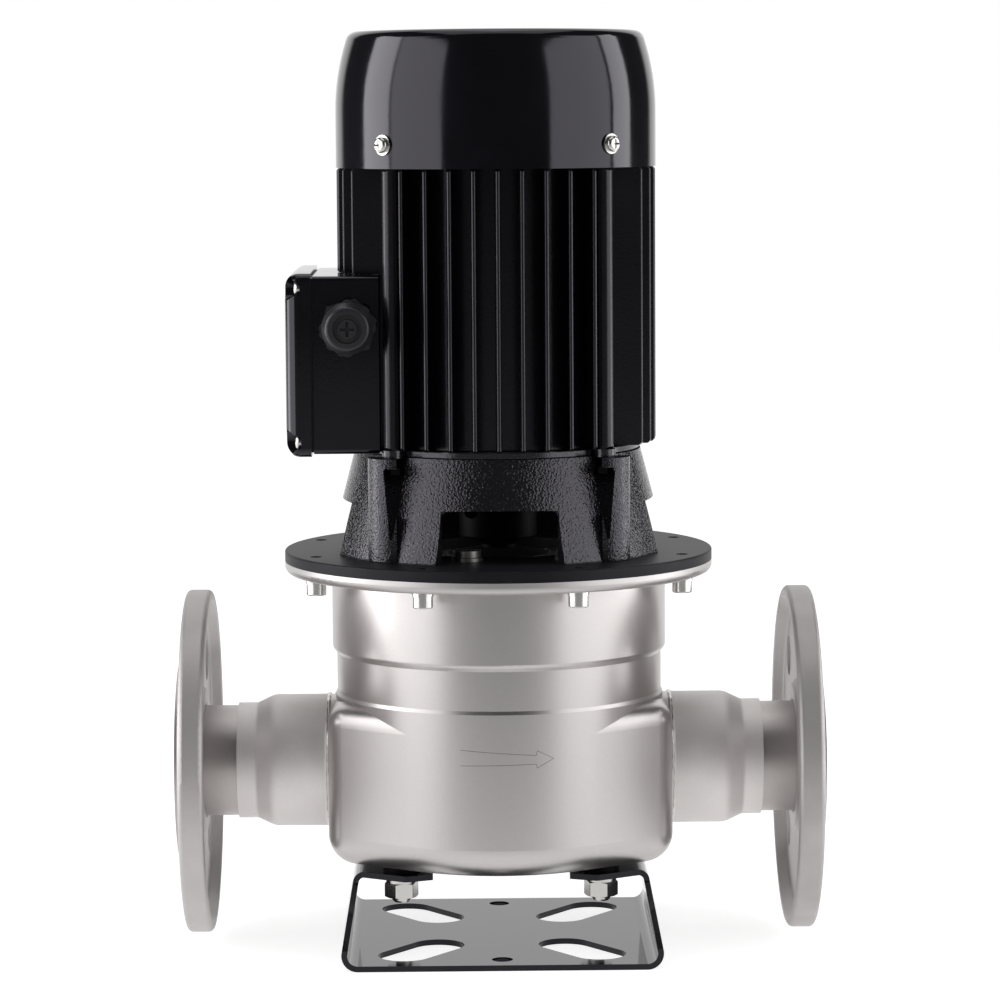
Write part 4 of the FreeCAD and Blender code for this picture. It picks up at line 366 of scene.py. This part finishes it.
FINISHES = {material.name: material for material in (
    satin_metal("satin_stainless", (0.63, 0.605, 0.598), (0.55, 0.526, 0.52), 0.33, (500.0, 500.0, 3600.0)),
    # The reducers take a far paler copy of the casing's stainless: painted light, standing in for the bright
    # floor they reflect.
    satin_metal("reducer_stainless_painted_light", (0.93, 0.90, 0.89), (0.84, 0.81, 0.80), 0.60, (1600.0, 900.0, 900.0),
                blotch=0.90),
    satin_metal("pipe_stainless", (0.58, 0.55, 0.54), (0.50, 0.47, 0.46), 0.40, (3600.0, 500.0, 500.0)),
    turned_metal("turned_ring", (0.62, 0.60, 0.59), (0.50, 0.48, 0.475), 0.40, 2400.0),
    satin_metal("flange_plate", (0.62, 0.594, 0.588), (0.50, 0.479, 0.475), 0.56, (2600.0, 1500.0, 1500.0),
                depth=0.008, blotch=0.80),
    satin_metal("bright_fasteners", (0.70, 0.69, 0.67), (0.60, 0.59, 0.57), 0.20, (1500.0, 1500.0, 3000.0)),
    black_coat("bracket_black", (0.007, 0.0065, 0.0085), 0.045, 900.0, 0.003, index=1.37),
    black_coat("cover_black", (0.0045, 0.004, 0.006), 0.09, 650.0, 0.010),
    black_coat("frame_black", (0.005, 0.0045, 0.0065), 0.22, 1300.0, 0.030, marks_size=30.0),
    black_coat("box_black", (0.005, 0.0045, 0.0065), 0.10, 900.0, 0.008),
    black_coat("gland_grey", (0.024, 0.023, 0.025), 0.34, 2200.0, 0.02, marks_size=50.0),
    black_casting("stool_casting", (0.009, 0.0085, 0.0105), 0.10, 1050.0, 700.0, 0.30, flat_rough=0.45),
    black_casting("shield_casting", (0.007, 0.0065, 0.008), 0.16, 1400.0, 600.0, 0.04, flat_rough=0.30),
    satin_metal("etched_line", (0.33, 0.265, 0.24), (0.21, 0.165, 0.15), 0.55, (900.0, 900.0, 900.0)),
    # Near-black, dimly reflecting steel: partly the coupling's own black phosphate, partly painted shade on
    # the coupling in the stool window's dark, the tie bolts in the frame's grooves and the stud spacers
    # under the bracket tabs.
    black_coat("coupling_black_and_painted_shade", (0.002, 0.002, 0.002), 0.50, 1500.0, 0.010, index=1.18),
    # The vent plugs take a darker copy of the bright fastener steel: painted shade, for the shade of the
    # stool's window they sit in.
    satin_metal("plug_painted_shade", (0.40, 0.385, 0.37), (0.30, 0.29, 0.28), 0.38, (1500.0, 1500.0, 3000.0)),
    turned_metal("ground_steel", (0.62, 0.62, 0.62), (0.50, 0.50, 0.50), 0.22, 3800.0),
    plain_solid("seal_rubber", (0.014, 0.014, 0.014), (0.008, 0.008, 0.008), 0.55),
    plain_solid("seal_carbon", (0.022, 0.022, 0.023), (0.014, 0.014, 0.014), 0.35),
    plain_solid("seal_plastic", (0.72, 0.70, 0.66), (0.62, 0.60, 0.56), 0.40),
    plain_solid("winding_enamel", (0.42, 0.13, 0.045), (0.26, 0.07, 0.02), 0.30, metallic=0.6, grit=900.0,
                depth=0.15),
    satin_metal("core_laminations", (0.36, 0.36, 0.37), (0.20, 0.20, 0.21), 0.42, (300.0, 300.0, 2000.0),
                depth=0.03),
    satin_metal("terminal_brass", (0.62, 0.44, 0.17), (0.50, 0.34, 0.12), 0.28, (2000.0, 2000.0, 2000.0)),
    plain_solid("board_plastic", (0.055, 0.045, 0.035), (0.035, 0.03, 0.022), 0.42),
    cast_metal("rotor_aluminium", (0.66, 0.66, 0.67), (0.44, 0.44, 0.45), 0.40, 900.0, 380.0, 0.05),
    plain_solid("fan_plastic", (0.016, 0.016, 0.017), (0.010, 0.010, 0.011), 0.40),
)}

FINISH_OF_SLOT = {
    "bracket_paint": "bracket_black",
    "fastener_steel": "bright_fasteners",
    "pressed_stainless": "satin_stainless",
    "ring_steel": "turned_ring",
    "seal_plastic": "seal_plastic",
    "flange_steel": "flange_plate",
    "seal_rubber": "seal_rubber",
    "seal_carbon": "seal_carbon",
    "stool_casting": "stool_casting",
    "shield_casting": "shield_casting",
    "motor_paint": "frame_black",
    "electrical_steel": "core_laminations",
    "winding_copper": "winding_enamel",
    "bearing_steel": "ground_steel",
    "cover_paint": "cover_black",
    "box_plastic": "box_black",
    "board_plastic": "board_plastic",
    "terminal_brass": "terminal_brass",
    "gland_plastic": "gland_grey",
    "shaft_steel": "ground_steel",
    # The coupling's near-black is partly its black phosphate and partly painted shade.
    "coupling_steel": "coupling_black_and_painted_shade",
    "rotor_aluminium": "rotor_aluminium",
    "fan_plastic": "fan_plastic",
}

# Nodes whose finish differs from that of their material slot
FINISH_OF_NODE = {
    # These near-black parts carry painted shade where they stand in shadow.
    "coupling_screws": "coupling_black_and_painted_shade",
    "tie_bolts": "coupling_black_and_painted_shade",
    "stud_spacers": "coupling_black_and_painted_shade",
    # The vent plugs' darker steel is painted shade.
    "vent_plugs": "plug_painted_shade",
    # The reducers' finish is a paler copy of the stainless, painted light.
    "suction_reducer": "reducer_stainless_painted_light",
    "discharge_reducer": "reducer_stainless_painted_light",
    "suction_stub": "pipe_stainless",
    "discharge_stub": "pipe_stainless",
}


def dress_the_solids():
    """Every CAD node takes its finish, by its own name or by its material slot."""
    slots = {part["node"]: part["material_slot"] for part in frame["record"]["subparts"]}
    for name, solid in frame["nodes"].items():
        finish = FINISH_OF_NODE.get(name) or FINISH_OF_SLOT[slots[name]]
        solid.data.materials.clear()
        solid.data.materials.append(FINISHES[finish])


# Pieces that only the dressed pump has

def in_scene(name, data):
    """An object made from its data and placed in the scene."""
    made = bpy.data.objects.new(name, data)
    bpy.context.scene.collection.objects.link(made)
    return made


def piece(name, points, faces, finish):
    """A smooth mesh piece in the pump's frame, in metres, that rides on the housing."""
    mesh = bpy.data.meshes.new(name)
    mesh.from_pydata(points, [], faces)
    mesh.materials.append(FINISHES[finish])
    made = in_scene(name, mesh)
    shape = bmesh.new()
    shape.from_mesh(mesh)
    bmesh.ops.recalc_face_normals(shape, faces=shape.faces)
    shape.to_mesh(mesh)
    shape.free()
    for face in mesh.polygons:
        face.use_smooth = True
    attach(made, "housing")


def on_casing(x, z, rise):
    """A point on the casing's front, in metres, at a distance x along its skin."""
    angle = x / CASING_R
    radius = (CASING_R + rise) * MM
    return (radius * math.sin(angle), -radius * math.cos(angle), z * MM)


def flow_arrow():
    """The fine outline of an arrow that shows which way the water runs, marked on the casing."""
    corners = ((1, ARROW_RISE), (-1, ARROW_RISE), (-1, ARROW_SINK), (1, ARROW_SINK))
    sides = len(corners)
    points = []
    faces = []
    for x0, z0, x1, z1 in ARROW_STROKES:
        length = math.hypot(x1 - x0, z1 - z0)
        steps = max(2, round(length))
        side_x = -(z1 - z0) / length * ARROW_LINE / 2
        side_z = (x1 - x0) / length * ARROW_LINE / 2
        first = len(points)
        for i in range(steps + 1):
            x = x0 + (x1 - x0) * i / steps
            z = ARROW_Z + z0 + (z1 - z0) * i / steps
            for turn, rise in corners:
                points.append(on_casing(x + turn * side_x, z + turn * side_z, rise))
        for i in range(steps):
            here = first + sides * i
            for j in range(sides):
                beside = (j + 1) % sides
                faces.append((here + j, here + beside, here + sides + beside, here + sides + j))
        last = first + sides * steps
        faces += [(first, first + 3, first + 2, first + 1), (last, last + 1, last + 2, last + 3)]
    piece("flow_arrow", points, faces, "etched_line")


def weld_bead(name, x_mm):
    """A rippled weld where a nozzle meets the casing's pad, in the plane across the nozzle's axis."""
    points = []
    faces = []
    for i in range(WELD_STEPS):
        angle = math.tau * i / WELD_STEPS
        ripple = WELD_BEAD * (1 + WELD_RIPPLE_SHARE * math.sin(WELD_RIPPLES * angle))
        for j in range(WELD_SIDES):
            around = math.tau * j / WELD_SIDES
            reach = REDUCER_R + ripple * math.cos(around)
            points.append(((x_mm + ripple * math.sin(around)) * MM,
                           reach * math.cos(angle) * MM,
                           (PORT_Z + reach * math.sin(angle)) * MM))
    for i in range(WELD_STEPS):
        for j in range(WELD_SIDES):
            here = i * WELD_SIDES + j
            beside = i * WELD_SIDES + (j + 1) % WELD_SIDES
            after = (i + 1) % WELD_STEPS * WELD_SIDES
            faces.append((here, beside, after + (j + 1) % WELD_SIDES, after + j))
    piece(name, points, faces, "bright_fasteners")


# Studio

def soft_lamp(name, width, height, radiance, place):
    """A soft rectangular lamp that the camera doesn't see, facing straight down until it is aimed."""
    lamp = bpy.data.lights.new(name, "AREA")
    lamp.shape = "RECTANGLE"
    lamp.size = width
    lamp.size_y = height
    lamp.energy = radiance * math.pi * width * height
    holder = in_scene(name, lamp)
    holder.location = place
    holder.visible_camera = False
    return holder


def tall_softbox(name, start_deg, end_deg, radiance):
    """A tall soft lamp that covers a span of azimuths round the pump."""
    middle = math.radians((start_deg + end_deg) / 2)
    width = 2 * SOFTBOX_DISTANCE * math.sin(math.radians(end_deg - start_deg) / 2)
    place = (SOFTBOX_DISTANCE * math.sin(middle), -SOFTBOX_DISTANCE * math.cos(middle), SOFTBOX_CENTRE_Z)
    holder = soft_lamp(name, width, SOFTBOX_HEIGHT, radiance, place)
    look = Vector((0, 0, SOFTBOX_CENTRE_Z)) - holder.location
    holder.rotation_euler = look.to_track_quat("-Z", "Y").to_euler()


def studio_rays(tree):
    """The ray path, and 1 for rays that see the backdrop: from the camera, off gloss, through glass."""
    path = add(tree, "ShaderNodeLightPath")
    seen = reckon(tree, "MAXIMUM", path.outputs["Is Camera Ray"], path.outputs["Is Glossy Ray"])
    return path, reckon(tree, "MAXIMUM", seen, path.outputs["Is Transmission Ray"])


def studio_room():
    """A dim room with a white backdrop behind the pump; the camera sees white all round."""
    world = bpy.data.worlds.new("studio_room")
    world.use_nodes = True
    bpy.context.scene.world = world
    tree = world.node_tree
    path, seen = studio_rays(tree)
    way = add(tree, "ShaderNodeSeparateXYZ", {0: seat_of(tree, "Generated")})
    turn = reckon(tree, "ARCTAN2", way.outputs["X"], way.outputs["Y"])
    off_back = add(tree, "ShaderNodeMath", {0: turn}, operation="ABSOLUTE").outputs[0]
    edge = math.radians(BACKDROP_HALF_ANGLE)
    behind = ramp(tree, off_back, edge - BACKDROP_BLUR, edge + BACKDROP_BLUR, 1.0, 0.0)
    backdrop = reckon(tree, "MULTIPLY", behind, seen)
    white = reckon(tree, "MAXIMUM", backdrop, path.outputs["Is Camera Ray"])
    dim = tint(DIM_ROOM, DIM_ROOM, DIM_ROOM)
    wire(tree, tree.nodes["Background"].inputs["Color"], mixed(tree, white, dim, tint(1, 1, 1)))


def floor_finish():
    """Pale floor that is white to the eye, dimmer to metal in front, with its glow lowered round the pump as
    painted shade so that the real shadow shows there.
    """
    material, tree, shader = start("studio_floor", 0.0, Roughness=FLOOR_ROUGHNESS, Specular_IOR_Level=0.0)
    shader.inputs["Base Color"].default_value = tint(FLOOR_SHADE, FLOOR_SHADE, FLOOR_SHADE)
    shader.inputs["Emission Color"].default_value = tint(1, 1, 1)
    path, seen = studio_rays(tree)
    place = add(tree, "ShaderNodeNewGeometry").outputs["Position"]
    reach = add(tree, "ShaderNodeVectorMath", {0: place}, operation="LENGTH").outputs["Value"]
    # Painted shade: the glow drops to SHADOW_GLOW within a disc round the pump, whether or not its shadow
    # falls there.
    glow_with_painted_shade = ramp(tree, reach, SHADOW_CORE_R, SHADOW_EDGE_R, SHADOW_GLOW, 1.0)
    back = ramp(tree, along(tree, place, "Y"), FRONT_FLOOR_Y, BACK_FLOOR_Y, FRONT_FLOOR_GLOW, 1.0)
    white = reckon(tree, "MAXIMUM", path.outputs["Is Camera Ray"], back)
    glow = reckon(tree, "MULTIPLY", reckon(tree, "MULTIPLY", glow_with_painted_shade, white), seen)
    wire(tree, shader.inputs["Emission Strength"], glow)
    return material


def studio_floor():
    """The floor itself."""
    shape = bmesh.new()
    bmesh.ops.create_grid(shape, x_segments=8, y_segments=8, size=FLOOR_HALF_WIDTH)
    mesh = bpy.data.meshes.new("studio_floor")
    shape.to_mesh(mesh)
    shape.free()
    mesh.materials.append(floor_finish())
    in_scene("studio_floor", mesh)


def photograph_camera():
    """The camera of the photograph."""
    lens = bpy.data.cameras.new("photograph_camera")
    lens.lens = LENS_MM
    lens.sensor_width = SENSOR_MM
    camera = in_scene("photograph_camera", lens)
    turn = (Matrix.Rotation(-CAMERA_PAN, 4, "Z")
            @ Matrix.Rotation(math.pi / 2 - CAMERA_TILT, 4, "X")
            @ Matrix.Rotation(-CAMERA_ROLL, 4, "Z"))
    camera.matrix_world = Matrix.Translation(Vector(CAMERA_PLACE)) @ turn
    bpy.context.scene.camera = camera


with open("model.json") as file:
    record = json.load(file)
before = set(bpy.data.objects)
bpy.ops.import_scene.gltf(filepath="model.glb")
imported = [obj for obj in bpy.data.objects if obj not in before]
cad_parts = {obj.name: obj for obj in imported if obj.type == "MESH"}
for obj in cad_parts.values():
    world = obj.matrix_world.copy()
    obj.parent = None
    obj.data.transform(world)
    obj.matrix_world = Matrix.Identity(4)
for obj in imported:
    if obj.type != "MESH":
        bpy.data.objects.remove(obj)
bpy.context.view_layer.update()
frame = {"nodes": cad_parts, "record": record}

dress_the_solids()
flow_arrow()
weld_bead("suction_pad_weld", -PAD_X)
weld_bead("discharge_pad_weld", PAD_X)

studio_room()
studio_floor()
for lamp_name, (first_deg, last_deg, brightness) in SOFTBOXES.items():
    tall_softbox(lamp_name, first_deg, last_deg, brightness)
soft_lamp("softbox_top", TOP_SOFTBOX_WIDTH, TOP_SOFTBOX_DEPTH, TOP_SOFTBOX_RADIANCE, TOP_SOFTBOX_PLACE)
photograph_camera()
bpy.context.scene.view_settings.view_transform = "Standard"
